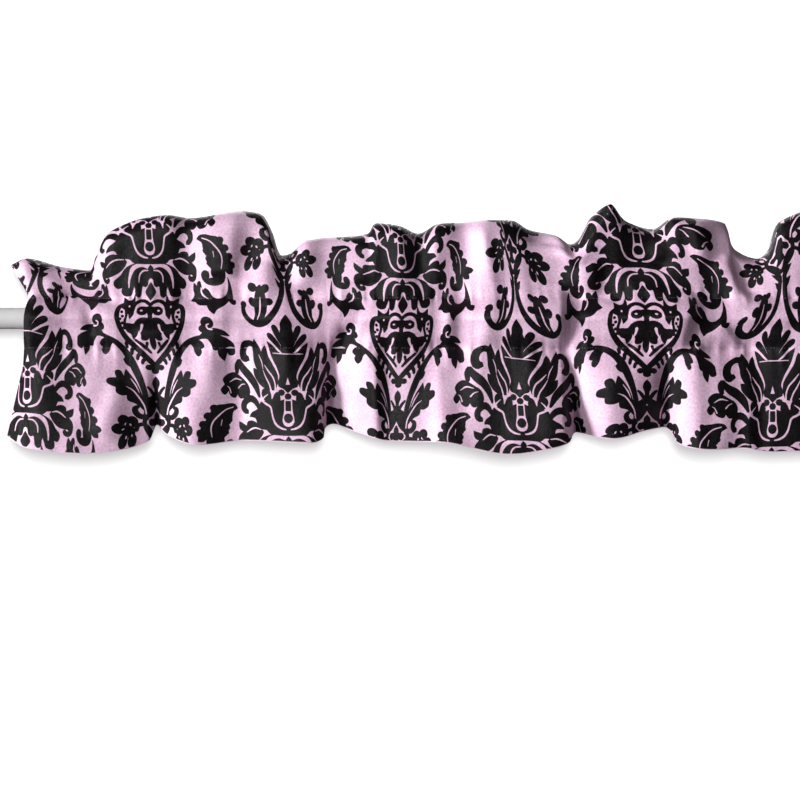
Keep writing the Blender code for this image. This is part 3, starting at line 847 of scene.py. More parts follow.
BRANCHES = (
    # The bud and the dark heart of the branches.
    Shape(BLACK, ((0, 114, 1), (2.8, 117.5), (3.6, 121.5), (1.8, 126.5), (2.2, 131), (5.5, 134),
          (8.5, 135.5, 1), (8, 141), (9.5, 146), (13, 150), (12.5, 155.5), (8, 154.5), (4, 150.5),
          (0, 144.5, 1)), ASTRIDE),
    Brush(BLACK, ((8.6, 124.6), (6, 127.4), (3, 132)), (0.7, 1.2, 1.4)),
    Drop(BARE, 0.4, 139, 0.5, 1.0),
    # The great branches.
    Brush(BLACK, ((11.5, 157), (10.8, 146), (11, 134), (13.3, 122), (17, 110), (21.5, 98),
          (26.8, 88), (33.5, 80.5), (42, 75.5), (50.5, 74), (58, 77)),
          (1.7, 2.2, 2.2, 2.3, 2.9, 3.1, 2.7, 2.3, 1.8, 1.6, 1.6)),
    Shape(BLACK, ((24, 93, 1), (27.8, 97.5, 1), (25.5, 102.5), (20, 106, 1))),
    Shape(BLACK, ((35, 79, 1), (39, 83.5), (41, 89.5), (44.5, 93.5), (47, 90), (46, 86.2, 1),
          (49, 84), (47.5, 80), (42.5, 76.5))),
    # The leaf cluster, the small leaf and the curl at a branch's end.
    Shape(BLACK, ((51, 73.5, 1), (59, 72), (68, 75.5), (74.5, 80.5), (75.5, 84.5, 1), (76, 90),
          (71, 91.5), (68, 88.5, 1), (66.5, 97.5, 1), (62, 92.5), (60.5, 87, 1), (57, 86.5),
          (55.5, 81.5))),
    Shape(BLACK, ((46, 72, 1), (50.5, 67.5), (57, 65.5), (64.5, 67.5), (70.5, 72.5, 1), (62, 71.8),
          (54, 72.3))),
    *drops(BLACK, (52.3, 60, 5.0, 5.6), (48.8, 66, 4.0, 3.6)),
    Brush(BARE, ((55.5, 66.5), (52.3, 65.8), (51.6, 62.2), (53.6, 61.2)), (1.1, 0.8, 0.7, 0.7)),
    # The lobed leaf beside the middle.
    Shape(BLACK, ((12, 150, 1), (13.5, 138), (16, 127), (20, 117.5), (26.5, 107.5, 1),
          (28.5, 115, 1), (32, 109), (36.5, 110), (35.5, 116.5, 1), (42, 117.5), (42.5, 122.5),
          (36.5, 126, 1), (36, 131.5), (31, 134), (26.5, 133.5, 1), (25.5, 139), (20, 141.5),
          (15.5, 145.5))),
    Brush(BARE, ((11.3, 152), (12.6, 144), (17, 135), (21.5, 128.5), (27, 125)),
          (0.7, 0.8, 0.8, 0.7, 0.3)),
    Brush(BARE, ((16, 131), (18.5, 124), (22.5, 117)), (0.3, 0.7, 0.4)),
    Brush(BLACK, ((12, 154.5), (16.5, 154.8), (20, 151), (20.3, 146.8), (17.8, 145)),
          (2.0, 2.3, 2.2, 1.9, 1.2)),
    # The pointed frame with its trefoil.
    Brush(BLACK, ((11.8, 154), (13.2, 160), (12, 167), (8.5, 173.5), (3.5, 180), (0, 184)),
          (1.7, 1.6, 1.7, 1.8, 1.8, 1.6)),
    Shape(BLACK, ((0, 149, 1), (2.6, 152.5), (3.2, 156.5), (7.5, 157), (9.2, 160.5), (6.5, 163.5),
          (3.2, 162.5), (2.2, 167), (4, 171.5), (0, 174.5)), ASTRIDE),
)

SIDE_MOTIFS = (
    # The comma leaf.
    Shape(BLACK, ((51, -24, 1), (54, -27.5), (59, -28.5), (65, -27.3, 1), (70.5, -26.5),
          (75, -22.5), (78, -15), (82, -8), (85, -2.5), (84, 1.5, 1), (87, 5.5), (87.3, 10.3, 1),
          (82.5, 10.3), (79.3, 7.5, 1), (78.5, 13.5), (74.5, 19), (67, 21.7), (58.5, 21),
          (54.3, 16.5), (53.8, 11), (57, 7.5), (61, 8.8), (61.3, 12.5), (60, 15.3, 1),
          (65.3, 14.6, 1), (64, 10), (64.5, 5.5, 1), (60, 0.8, 1), (62, -7, 1), (59, -8.5),
          (57, -15), (56, -20.5))),
    *drops(BLACK, (73.5, -23.5, 3.6, 3.2), (79.0, -15.5, 3.6, 3.2, 20), (83.2, -7.0, 3.6, 3.2, 20),
           (86.0, 2.0, 3.2, 3.6), (61.5, -4.5, 2.4, 2.8), (58.8, -12.5, 2.2, 2.6)),
    Brush(BARE, ((56, -25), (63.3, -22.3), (69.5, -16.3), (74.2, -9.8), (75.8, -3), (74.7, 5.5)),
          (0.6, 0.7, 0.8, 0.8, 0.7, 0.4)),
    Brush(BARE, ((66.5, -12), (67.3, -6)), (0.5, 0.3)),
    # The horned crescent.
    Shape(BLACK, ((44, 19.5, 1), (42.8, 26.5), (43, 32), (39, 38, 1), (43.5, 39), (47, 42.2),
          (54.5, 42.7, 1), (56.3, 47.5), (59.8, 51.3, 1), (63, 46.5), (71.5, 42), (78.5, 37.3, 1),
          (82, 40.5), (86.7, 41.3), (88, 37), (85.2, 36.8, 1), (84.6, 28.5), (83.3, 20.5),
          (81, 13.5, 1), (80.7, 22), (77.8, 29.5), (71.5, 34.2), (65, 35.5), (60.5, 33.5),
          (58, 28), (55, 25), (52.3, 27.5), (51.3, 23), (51, 18.5), (48.5, 19), (46.8, 23, 1))),
    Brush(BARE, ((51, 24.5), (50.6, 29.5), (52.6, 33.2), (56, 35.5)), (0.6, 0.9, 0.9, 0.4)),
)


@dataclass(frozen=True)
class DamaskPrint:
    """The print: rows of one repeat in columns, every second column set half a repeat lower."""

    column_pitch: float = 135.0
    columns: int = 8
    step_down: float = 1.3
    repeat: float = 350.0
    rod_row: float = 318.0
    low_column_foot: float = 432.0
    high_column_foot: float = 263.5
    level_rows: Triple = (275.0, 330.0, 405.0)
    bare_edge: float = 0.9
    least_move: float = 0.05
    spacing: float = 2.3
    spreads = {Ink.BLACK: 0.5, Ink.BARE: -0.12}

    def outlines(self, sheet: HangingSheet) -> list[tuple[Ink, Array]]:
        """Every mark that falls on the cloth.

        Args:
            sheet: the cloth that is printed.

        Returns:
            The ink and the outline, as places (flat, run) of the cut cloth, in printing order.
        """
        curves = self.place_curves(sheet)
        drawn = [(mark, self.spread(mark.outline(self.spacing), self.spreads[mark.ink]))
                 for mark in MOTIFS]
        found = []
        for column in range(self.columns):
            high = column % 2 == 1
            foot = self.high_column_foot if high else self.low_column_foot
            for turn in ((-1, 0, 1) if high else (-1, 0)):
                for mark, outline in drawn:
                    for side in ((1, -1) if mark.lay is Lay.PAIR else (1,)):
                        chart = self.column_pitch * column + side * outline[:, 0]
                        row = foot + turn * self.repeat + outline[:, 1]
                        places = self.trim(self.lay_down(chart, row, curves, sheet), sheet)
                        if places is not None:
                            found.append((mark.ink, places))
        return found

    def place_curves(self, sheet: HangingSheet) -> dict[str, FoldCurve]:
        """Curves through the table of print places, with the places as flat ones of the cloth.

        Args:
            sheet: the cloth that is printed.

        Returns:
            A curve for each column of the table.
        """
        table = np.array(PRINT_PLACES, float)
        for column, row in zip((1, 2, 3), self.level_rows):
            height = (self.rod_row - row) * self.step_down
            table[:, column] = sheet.flat_at(table[:, column], height)
        places = [PrintPlace(*row) for row in table.tolist()]
        return {column: FoldCurve(places, column) for column in PrintPlace._fields[1:]}

    def spread(self, outline: Array, amount: float) -> Array:
        """Move a closed outline outwards, as ink spreads on cloth."""
        after = np.roll(outline, -1, axis=0)
        along = unit(after - np.roll(outline, 1, axis=0))
        turn = np.sign((outline[:, 0] * after[:, 1] - after[:, 0] * outline[:, 1]).sum())
        return outline + amount * turn * np.column_stack([along[:, 1], -along[:, 0]])

    def lay_down(self, chart: Array, row: Array, curves: dict, sheet: HangingSheet) -> Array:
        """Find where points of the chart lie on the cloth.

        Args:
            chart: how far along the chart the points are.
            row: how far down the chart they are.
            curves: the columns of the table of print places.
            sheet: the cloth that is printed.

        Returns:
            Places (flat, run) of the cut cloth; they can be off its edges.
        """
        header, pocket, skirt = self.level_rows
        low = np.clip((row - pocket) / (skirt - pocket), 0, 1)
        high = np.clip((pocket - row) / (pocket - header), 0, 1)
        middle = curves["on_pocket"](chart)
        flat = (middle + (curves["on_skirt"](chart) - middle) * low
                + (curves["on_header"](chart) - middle) * high)
        share = np.clip((row - header) / (skirt - header), 0, 1)
        drop = mix(curves["header_drop"](chart), curves["skirt_drop"](chart), share)
        height = (self.rod_row - row) * self.step_down - drop
        run = sheet.run_at_height(np.clip(flat, 0, sheet.width), height)
        return np.column_stack([flat, run])

    def trim(self, places: Array, sheet: HangingSheet) -> Array | None:
        """Keep a mark inside the bare edge of the cloth, or drop it if it is off the cloth."""
        low = np.array([self.bare_edge, self.bare_edge])
        high = np.array([sheet.width, sheet.length]) - self.bare_edge
        kept = np.clip(places, low, high)
        if np.ptp(kept[:, 0]) < self.bare_edge or np.ptp(kept[:, 1]) < self.bare_edge:
            return None
        kept = kept[np.r_[True, np.abs(np.diff(kept, axis=0)).max(axis=1) > self.least_move]]
        return kept if len(kept) > 3 else None


MOTIFS = (*SIDE_MOTIFS, *SCROLLS, *BRANCHES, *MEDALLION, *FRINGE, *VASE, *LOTUS)


# ----- Finishes -----


def add_node(tree: NodeTree, kind: str, values: dict | None = None, **settings) -> Node:
    """Add a node to a tree.

    Args:
        tree: a shader or geometry tree.
        kind: the node's type.
        values: what goes into its inputs, by their names or numbers, as for fill.
        settings: the node's own properties.

    Returns:
        The node.
    """
    node = tree.nodes.new(kind)
    for name, value in settings.items():
        setattr(node, name, value)
    fill(tree, node, values or {})
    return node


def fill(tree: NodeTree, node: Node, values: dict) -> None:
    """Give a node's inputs their values, and link the ones that are sockets."""
    for key, value in values.items():
        if isinstance(value, NodeSocket):
            tree.links.new(value, node.inputs[key])
        else:
            node.inputs[key].default_value = value


def new_material(name: str) -> tuple[Material, NodeTree, Node]:
    """A Principled material with an empty tree beside its shader.

    Args:
        name: the material's name.

    Returns:
        The material, its tree and its Principled BSDF.
    """
    material = bpy.data.materials.new(name)
    material.use_nodes = True
    tree = material.node_tree
    return material, tree, tree.nodes["Principled BSDF"]


def math_node(tree: NodeTree, operation: str, first: Value, second: Value = 0.0) -> NodeSocket:
    """Add a Math node; an input is a socket or a number."""
    return add_node(tree, "ShaderNodeMath", {0: first, 1: second}, operation=operation).outputs[0]


def mix_colours(tree: NodeTree, share: Value, dark: Triple, light: Triple) -> NodeSocket:
    """Add a colour Mix node, which is as light as its share says."""
    return add_node(tree, "ShaderNodeMix", {"Factor": share, 6: (*dark, 1), 7: (*light, 1)},
                    data_type="RGBA").outputs[2]


def map_range(tree: NodeTree, value: Value, given: Pair = (0.0, 1.0),
              wanted: Pair = (0.0, 1.0)) -> NodeSocket:
    """Add a Map Range node, from one range of numbers to another."""
    return add_node(tree, "ShaderNodeMapRange", {
        "Value": value, "From Min": given[0], "From Max": given[1], "To Min": wanted[0],
        "To Max": wanted[1]}).outputs[0]


def noise_node(tree: NodeTree, place: NodeSocket, scale: Value, detail: float = 2.0,
               dimensions: str = "3D") -> NodeSocket:
    """Add a Noise node that reads its place from a socket."""
    return add_node(tree, "ShaderNodeTexNoise", {"Vector": place, "Scale": scale, "Detail": detail},
                    noise_dimensions=dimensions).outputs["Fac"]


def bump_node(tree: NodeTree, height: Value, strength: float, distance: float) -> NodeSocket:
    """Add a Bump node that raises the surface by a height's share of a distance in metres."""
    return add_node(tree, "ShaderNodeBump", {"Height": height, "Strength": strength,
                                             "Distance": distance}).outputs[0]


class WovenCotton:
    """The weave that every side of the cloth shares, as a shader node group."""

    flat_map = "flat cloth"
    # The tree's inputs in metres, how finely its noises are cut up, and its parts of the height.
    sizes = {"Yarn Pitch": 0.00055, "Mottle Size": 0.0032, "Patch Size": 0.03}
    details = {"Mottle": 3.0, "Patch": 2.0}
    weave_height = 0.25
    slub_height = 1.2

    @classmethod
    def group(cls) -> NodeTree:
        """Find or build the group: a mottled tone and the height of the yarns."""
        name = "woven cotton"
        if name in bpy.data.node_groups:
            return bpy.data.node_groups[name]
        tree = bpy.data.node_groups.new(name, "ShaderNodeTree")
        for label, value in cls.sizes.items():
            socket = tree.interface.new_socket(label, in_out="INPUT", socket_type="NodeSocketFloat")
            socket.default_value = value
        for label in (*cls.details, "Height"):
            tree.interface.new_socket(label, in_out="OUTPUT", socket_type="NodeSocketFloat")
        given = add_node(tree, "NodeGroupInput").outputs
        result = add_node(tree, "NodeGroupOutput")
        place = add_node(tree, "ShaderNodeUVMap", uv_map=cls.flat_map).outputs[0]
        split = add_node(tree, "ShaderNodeSeparateXYZ", {0: place}).outputs
        yarns = []
        for axis in (0, 1):
            turns = math_node(tree, "DIVIDE", split[axis], given["Yarn Pitch"])
            angle = math_node(tree, "MULTIPLY", turns, 2 * math.pi)
            yarns.append(math_node(tree, "SINE", angle))
        weave = math_node(tree, "MULTIPLY", *yarns)
        noises = {label: noise_node(tree, place, math_node(tree, "DIVIDE", 1.0,
                                                           given[f"{label} Size"]), detail, "2D")
                  for label, detail in cls.details.items()}
        slub = math_node(tree, "MULTIPLY", noises["Mottle"], cls.slub_height)
        yarn = math_node(tree, "MULTIPLY", weave, cls.weave_height)
        fill(tree, result, {**noises, "Height": math_node(tree, "ADD", yarn, slub)})
        return tree

    @classmethod
    def add(cls, tree: NodeTree) -> Node:
        """Place the group in a material's tree."""
        return add_node(tree, "ShaderNodeGroup", node_tree=cls.group())


@dataclass(frozen=True)
class ClothFinish:
    """A finish of one side of the cloth: two tones of its colour, its gloss and its weave."""

    name: str
    dark: Triple
    light: Triple
    roughness: Pair
    specular: float
    sheen: float
    bump: float
    sheen_roughness: float = 0.4
    patch_share: float = 0.35
    noise_range: Pair = (0.3, 0.7)
    yarn_height: float = 0.0004

    def material(self) -> Material:
        """Build the finish's material."""
        material, tree, shader = new_material(self.name)
        weave = WovenCotton.add(tree).outputs
        tone = math_node(tree, "ADD", math_node(tree, "MULTIPLY", weave["Patch"], self.patch_share),
                         math_node(tree, "MULTIPLY", weave["Mottle"], 1 - self.patch_share))
        share = map_range(tree, tone, self.noise_range)
        fill(tree, shader, {
            "Base Color": mix_colours(tree, share, self.dark, self.light),
            "Roughness": map_range(tree, weave["Mottle"], self.noise_range, self.roughness),
            "Specular IOR Level": self.specular,
            "Sheen Weight": self.sheen,
            "Sheen Roughness": self.sheen_roughness,
            "Normal": bump_node(tree, weave["Height"], self.bump, self.yarn_height),
        })
        return material


PINK_COTTON = ClothFinish("pink cotton", dark=(0.69, 0.41, 0.59), light=(0.94, 0.67, 0.86),
                          roughness=(0.38, 0.5), specular=0.6, sheen=0.15, bump=0.35)
BLACK_PRINT = ClothFinish("black print", dark=(0.0004,) * 3, light=(0.010, 0.0075, 0.0095),
                          roughness=(0.30, 0.42), specular=0.15, sheen=0.0, bump=0.6)
WRONG_SIDE = ClothFinish("cotton wrong side", dark=(0.62, 0.47, 0.57), light=(0.76, 0.60, 0.70),
                         roughness=(0.75, 0.85), specular=0.3, sheen=0.2, bump=0.4)


@dataclass(frozen=True)
class ThreadFinish:
    """Matt sewing thread, with a fine twist."""

    colour: Triple = (0.45, 0.28, 0.39)
    paler: float = 1.2
    twist_scale: float = 2500.0
    roughness: float = 0.6

    def material(self) -> Material:
        """Build the thread's material."""
        material, tree, shader = new_material("sewing thread")
        place = add_node(tree, "ShaderNodeTexCoord").outputs["Object"]
        pale = tuple(min(1.0, part * self.paler) for part in self.colour)
        twist = noise_node(tree, place, self.twist_scale)
        fill(tree, shader, {"Base Color": mix_colours(tree, twist, self.colour, pale),
                            "Roughness": self.roughness})
        return material


@dataclass(frozen=True)
class RodPaint:
    """Satin white paint on a steel tube, a little uneven and faintly dusty."""

    dusty: Triple = (0.60, 0.60, 0.60)
    clean: Triple = (0.70, 0.70, 0.70)
    roughness: Pair = (0.3, 0.5)
    dust_scale: float = 60.0
    dust_detail: float = 4.0
    peel_scale: float = 700.0
    peel: float = 0.15
    peel_height: float = 0.0002

    def material(self) -> Material:
        """Build the paint's material."""
        material, tree, shader = new_material("satin white paint")
        place = add_node(tree, "ShaderNodeTexCoord").outputs["Object"]
        dust = noise_node(tree, place, self.dust_scale, self.dust_detail)
        peel = noise_node(tree, place, self.peel_scale)
        fill(tree, shader, {
            "Base Color": mix_colours(tree, dust, self.dusty, self.clean),
            "Roughness": map_range(tree, dust, wanted=self.roughness),
            "Normal": bump_node(tree, peel, self.peel, self.peel_height),
        })
        return material


# ----- Pieces -----


def add_object(name: str, data: bpy.types.ID) -> Object:
    """Put a mesh, a light or a camera in the scene as an object at the origin."""
    piece = bpy.data.objects.new(name, data)
    bpy.context.scene.collection.objects.link(piece)
    return piece


@dataclass
class Valance:
    """The printed cloth, as a thin closed shell on the hanging sheet."""

    sheet: HangingSheet
    damask: DamaskPrint
    columns: int = 250
    row_step: float = 7.4
    fold_rows: int = 6
    seam_rows: tuple[float, ...] = (-2.4, 2.4)
    join_gap: float = 1e-4
    normal_step: float = 0.6
    shading_step: float = 4.0
    least_gap: float = 0.45
    most_drawn: float = 0.6
    draw_rounds: int = 3

    def spaced(self, *stops: float) -> list[Array]:
        """Even runs from stop to stop, about a row step apart."""
        return [np.linspace(a, b, max(2, round((b - a) / self.row_step)) + 1)
                for a, b in zip(stops, stops[1:])]

    def rows(self) -> Array:
        """Runs of the grid's rows, close together at the seams and at the header's top edge."""
        s = self.sheet
        seams = [seam + off for seam in (s.lower_run, s.upper_run) for off in self.seam_rows]
        runs = [*self.spaced(0.0, s.lower_run, s.upper_run, s.fold_start),
                np.linspace(s.fold_start, s.fold_end, self.fold_rows + 1),
                *self.spaced(s.fold_end, s.back_upper_run, s.length), seams]
        return np.unique(np.round(np.concatenate(runs), 4))

    def build(self) -> Object:
        """Print the cloth, hang it and give it its thickness.

        Returns:
            The finished piece.
        """
        s = self.sheet
        flats = np.linspace(0, s.width, self.columns + 1)
        runs = self.rows()
        grid_flat, grid_run = np.meshgrid(flats, runs, indexing="ij")
        grid = np.column_stack([grid_flat.ravel(), grid_run.ravel()])
        places, triangles, inked = self.print_grid(grid)
        front = self.skin(places, 1)
        back = self.skin(grid, -1)
        centres = [array[triangles].mean(axis=1) for array in (places, *front)]
        samples = [np.vstack(pair) for pair in zip((places, *front), centres)]
        self.draw_back(back, flats, runs, samples)
        count = len(places)
        numbers = np.arange(len(grid)).reshape(len(flats), len(runs))
        quads = np.stack([numbers[:-1, :-1], numbers[:-1, 1:], numbers[1:, 1:], numbers[1:, :-1]],
                         axis=-1).reshape(-1, 4)
        rim = np.concatenate([numbers[:-1, 0], numbers[-1, :-1], numbers[:0:-1, -1],
                              numbers[0, :0:-1]])
        after = np.roll(rim, -1)
        edge = np.stack([rim + count, after + count, after, rim], axis=-1)
        faces = [*triangles.tolist(), *(quads + count).tolist(), *edge.tolist()]
        kinds = np.concatenate([inked, np.full(len(quads), 2), np.zeros(len(edge), int)])
        mesh = bpy.data.meshes.new("valance_cloth")
        mesh.from_pydata(np.vstack([front[0], back[0]]) * MM, [], faces)
        mesh.polygons.foreach_set("material_index", kinds.astype(np.int32))
        corner = np.empty(len(mesh.loops), np.int32)
        mesh.loops.foreach_get("vertex_index", corner)
        # The place on the cut cloth, in metres, is the UV map that the weave follows.
        on_flat = np.vstack([places, grid])[corner] * MM
        layer = mesh.uv_layers.new(name=WovenCotton.flat_map)
        layer.uv.foreach_set("vector", on_flat.astype(np.float32).ravel())
        self.set_normals(mesh, np.vstack([front[1], back[1]])[corner], len(triangles) + len(quads))
        piece = add_object("valance_cloth", mesh)
        LOG.info("cloth: %d triangles printed, %d in all", len(triangles),
                 sum(len(face) - 2 for face in faces))
        return piece

    def print_grid(self, grid: Array) -> tuple[Array, Array, Array]:
        """Cut the outlines of the print into the grid of the flat cloth.

        Args:
            grid: places of the plain grid.

        Returns:
            The places of all corners, the grid's first; the triangles; and 1 where one is inked.
        """
        outlines = self.damask.outlines(self.sheet)
        corners = [Vector(place) for place in grid]
        edges = []
        for _, outline in outlines:
            ring = np.arange(len(outline)) + len(corners)
            edges += zip(ring.tolist(), np.roll(ring, -1).tolist())
            corners += [Vector(place) for place in outline]
        found = delaunay_2d_cdt(corners, edges, [], 0, self.join_gap, True)
        places, triangles = np.array([tuple(place) for place in found[0]]), np.array(found[2])
        # The grid's corners come first again, so that its rim keeps its numbers.
        number = np.full(len(grid), -1)
        for new, olds in enumerate(found[3]):
            for old in olds:
                if old < len(grid):
                    number[old] = new
        order = np.concatenate([number, np.setdiff1d(np.arange(len(places)), number)])
        back = np.empty(len(places), int)
        back[order] = np.arange(len(order))
        places, triangles = places[order], back[triangles]
        a, b, c = (places[triangles[:, k]] for k in range(3))
        side, slant = b - a, c - a
        turned = side[:, 0] * slant[:, 1] < side[:, 1] * slant[:, 0]
        triangles[turned] = triangles[turned][:, ::-1]
        return places, triangles, self.inked((a + b + c) / 3, outlines)

    def inked(self, centres: Array, outlines: list[tuple[Ink, Array]]) -> Array:
        """Which places are black once every mark has been laid in its turn.

        Args:
            centres: places to look up.
            outlines: the marks, as DamaskPrint gives them.

        Returns:
            1 where a place is black and 0 where it is bare.
        """
        ink = np.zeros(len(centres), int)
        order = np.argsort(centres[:, 0])
        flats = centres[order, 0]
        for mark, outline in outlines:
            low, high = outline.min(axis=0), outline.max(axis=0)
            near = order[np.searchsorted(flats, low[0]):np.searchsorted(flats, high[0])]
            near = near[(centres[near, 1] > low[1]) & (centres[near, 1] < high[1])]
            place = centres[near][:, None]
            start, end = outline, np.roll(outline, -1, axis=0)
            side = ((end[:, 0] - start[:, 0]) * (place[..., 1] - start[:, 1])
                    - (place[..., 0] - start[:, 0]) * (end[:, 1] - start[:, 1]))
            up = (start[:, 1] <= place[..., 1]) & (end[:, 1] > place[..., 1]) & (side > 0)
            down = (start[:, 1] > place[..., 1]) & (end[:, 1] <= place[..., 1]) & (side < 0)
            ink[near[up.sum(axis=1) != down.sum(axis=1)]] = mark.value
        return ink

    def skin(self, places: Array, side: int) -> tuple[Array, Array]:
        """One face of the cloth.

        Args:
            places: places (flat, run) of the cut cloth.
            side: 1 for the printed face, -1 for the wrong side.

        Returns:
            Its points and its outward normals.
        """
        s = self.sheet
        flat, run = places[:, 0], places[:, 1]
        normal = s.normals_of(s.middle, flat, run, self.normal_step)
        shading = s.normals_of(s.middle, flat, run, self.shading_step)
        return s.middle(flat, run) + side * normal * 0.5 * s.skin, side * shading

    def draw_back(self, wall: tuple[Array, Array], flats: Array, runs: Array,
                  samples: list[Array]) -> None:
        """Draw the wrong side away wherever it would come through the printed face.

        Args:
            wall: the wrong side's points and outward normals; its points are moved.
            flats: places of the grid's columns.
            runs: places of the grid's rows.
            samples: places, points and normals of the printed face.
        """
        places, points, normals = samples
        corners = wall[0].reshape(len(flats), len(runs), 3)
        away = wall[1].reshape(len(flats), len(runs), 3)
        cells, shares = [], []
        for value, marks in zip(places.T, (flats, runs)):
            cell = np.clip(np.searchsorted(marks, value, side="right") - 1, 0, len(marks) - 2)
            cells.append(cell)
            shares.append(((value - marks[cell]) / (marks[cell + 1] - marks[cell]))[:, None])
        steps = [(across, up) for across in (0, 1) for up in (0, 1)]
        for _ in range(self.draw_rounds):
            facet = sum(corners[cells[0] + across, cells[1] + up]
                        * (shares[0] if across else 1 - shares[0])
                        * (shares[1] if up else 1 - shares[1]) for across, up in steps)
            short = np.maximum(self.least_gap - ((points - facet) * normals).sum(axis=1), 0)
            push = np.zeros(corners.shape[:2])
            for across, up in steps:
                np.maximum.at(push, (cells[0] + across, cells[1] + up), short)
            corners += np.minimum(push, self.most_drawn)[..., None] * away

    def set_normals(self, mesh: Mesh, normals: Array, smooth: int) -> None:
        """Shade the two faces by the sheet's own normals, and the rim flat.

        Args:
            mesh: the cloth.
            normals: outward normals at the corners of its faces.
            smooth: how many of its first faces are not rim.
        """
        mesh.shade_smooth()
        face = np.empty(len(mesh.polygons) * 3, np.float32)
        mesh.polygons.foreach_get("normal", face)
        rim = face.reshape(-1, 3)[smooth:]
        normals[mesh.polygons[smooth].loop_start:] = np.repeat(rim, 4, axis=0)
        mesh.normals_split_custom_set(normals.tolist())

    def dress(self, piece: Object) -> None:
        """Give the piece its three finishes, hide the part file's plain cloth and hang the piece on
        its body.
        """
        for finish in (PINK_COTTON, BLACK_PRINT, WRONG_SIDE):
            piece.data.materials.append(finish.material())
        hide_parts("valance")
        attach(piece, BODY)


@dataclass
class StitchRows:
    """The rows of machine stitches above and below the rod, at the front and the back."""

    sheet: HangingSheet
    pitch: float = 3.6
    length: float = 2.5
    thickness: float = 0.3
    line_step: float = 1.5
    side_hem: float = 4.0
    edge_hem: float = 2.5
    slope_step: float = 0.6
    tree_name = "sewn rows"

    @property
    def sizes(self) -> dict[str, float]:
        """The named inputs of the tree that sews, in metres."""
        return {"Pitch": self.pitch * MM, "Stitch Length": self.length * MM,
                "Thread Thickness": self.thickness * MM}

    def line(self, run: float) -> Array:
        """Points of one row, on the printed face."""
        s = self.sheet
        flat = np.arange(self.side_hem, s.width - self.side_hem, self.line_step)
        places = np.full_like(flat, run)
        normal = s.normals_of(s.middle, flat, places, self.slope_step)
        return s.middle(flat, places) + normal * 0.5 * s.skin

    def tree(self, material: Material) -> NodeTree:
        """The node tree that sews stitches along the lines of a mesh.

        Args:
            material: the thread's material.

        Returns:
            The tree, with named inputs for the stitch's sizes.
        """
        tree = bpy.data.node_groups.new(self.tree_name, "GeometryNodeTree")
        face = tree.interface
        face.new_socket("Geometry", in_out="INPUT", socket_type="NodeSocketGeometry")
        for label, value in self.sizes.items():
            socket = face.new_socket(label, in_out="INPUT", socket_type="NodeSocketFloat")
            socket.default_value = value
        face.new_socket("Geometry", in_out="OUTPUT", socket_type="NodeSocketGeometry")
        given = add_node(tree, "NodeGroupInput").outputs
        result = add_node(tree, "NodeGroupOutput")
        curve = add_node(tree, "GeometryNodeMeshToCurve", {"Mesh": given["Geometry"]})
        points = add_node(tree, "GeometryNodeResampleCurve", {
            "Curve": curve.outputs[0], "Length": given["Pitch"]}, mode="LENGTH")
        stitch = add_node(tree, "GeometryNodeMeshUVSphere", {
            "Segments": 6, "Rings": 4, "Radius": 0.5})
        size = add_node(tree, "ShaderNodeCombineXYZ", {
            "X": given["Stitch Length"], "Y": given["Thread Thickness"],
            "Z": given["Thread Thickness"]})
        shape = add_node(tree, "GeometryNodeTransform", {
            "Geometry": stitch.outputs["Mesh"], "Scale": size.outputs[0]})
        tangent = add_node(tree, "GeometryNodeInputTangent")
        turn = add_node(tree, "FunctionNodeAlignRotationToVector", {
            "Vector": tangent.outputs[0]}, axis="X")
        place = add_node(tree, "GeometryNodeInstanceOnPoints", {
            "Points": points.outputs[0], "Instance": shape.outputs[0], "Rotation": turn.outputs[0]})
        real = add_node(tree, "GeometryNodeRealizeInstances", {0: place.outputs[0]})
        paint = add_node(tree, "GeometryNodeSetMaterial", {
            "Geometry": real.outputs[0], "Material": material})
        fill(tree, result, {"Geometry": paint.outputs[0]})
        return tree

    def build(self) -> Object:
        """Sew the rows and make them a plain mesh."""
        s = self.sheet
        points, edges = [], []
        for run in (s.lower_run, s.upper_run, s.back_upper_run, s.length - self.edge_hem):
            first = len(points)
            points += (self.line(run) * MM).tolist()
            edges += [(k, k + 1) for k in range(first, len(points) - 1)]
        mesh = bpy.data.meshes.new("seam lines")
        mesh.from_pydata(points, edges, [])
        lines = add_object("seam lines", mesh)
        modifier = lines.modifiers.new(self.tree_name, "NODES")
        modifier.node_group = self.tree(ThreadFinish().material())
        for item in modifier.node_group.interface.items_tree:
            if item.in_out == "INPUT" and item.name in self.sizes:
                modifier[item.identifier] = self.sizes[item.name]
        bpy.context.view_layer.update()
        graph = bpy.context.evaluated_depsgraph_get()
        sewn = bpy.data.meshes.new_from_object(lines.evaluated_get(graph))
        sewn.name = "valance_stitches"
        bpy.data.objects.remove(lines)
        sewn.shade_smooth()
        piece = add_object("valance_stitches", sewn)
        LOG.info("stitches: %d faces", len(sewn.polygons))
        return piece

    def dress(self, piece: Object) -> None:
        """Let the stitches hang with the cloth."""
        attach(piece, BODY)


@dataclass
class Rod:
    """The curtain rod, which keeps its own node."""

    node: str = "rod"

    def dress(self) -> None:
        """Paint the rod."""
        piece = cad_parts[self.node]
        paint = RodPaint().material()
        for k in range(len(piece.material_slots)):
            piece.material_slots[k].material = paint
        LOG.info("rod: %d material slots painted", len(piece.material_slots))


# ----- The studio -----


class Lit(Enum):
    """What a light falls on."""

    PIECES = "the cloth and the rod"
    WALL = "the wall"


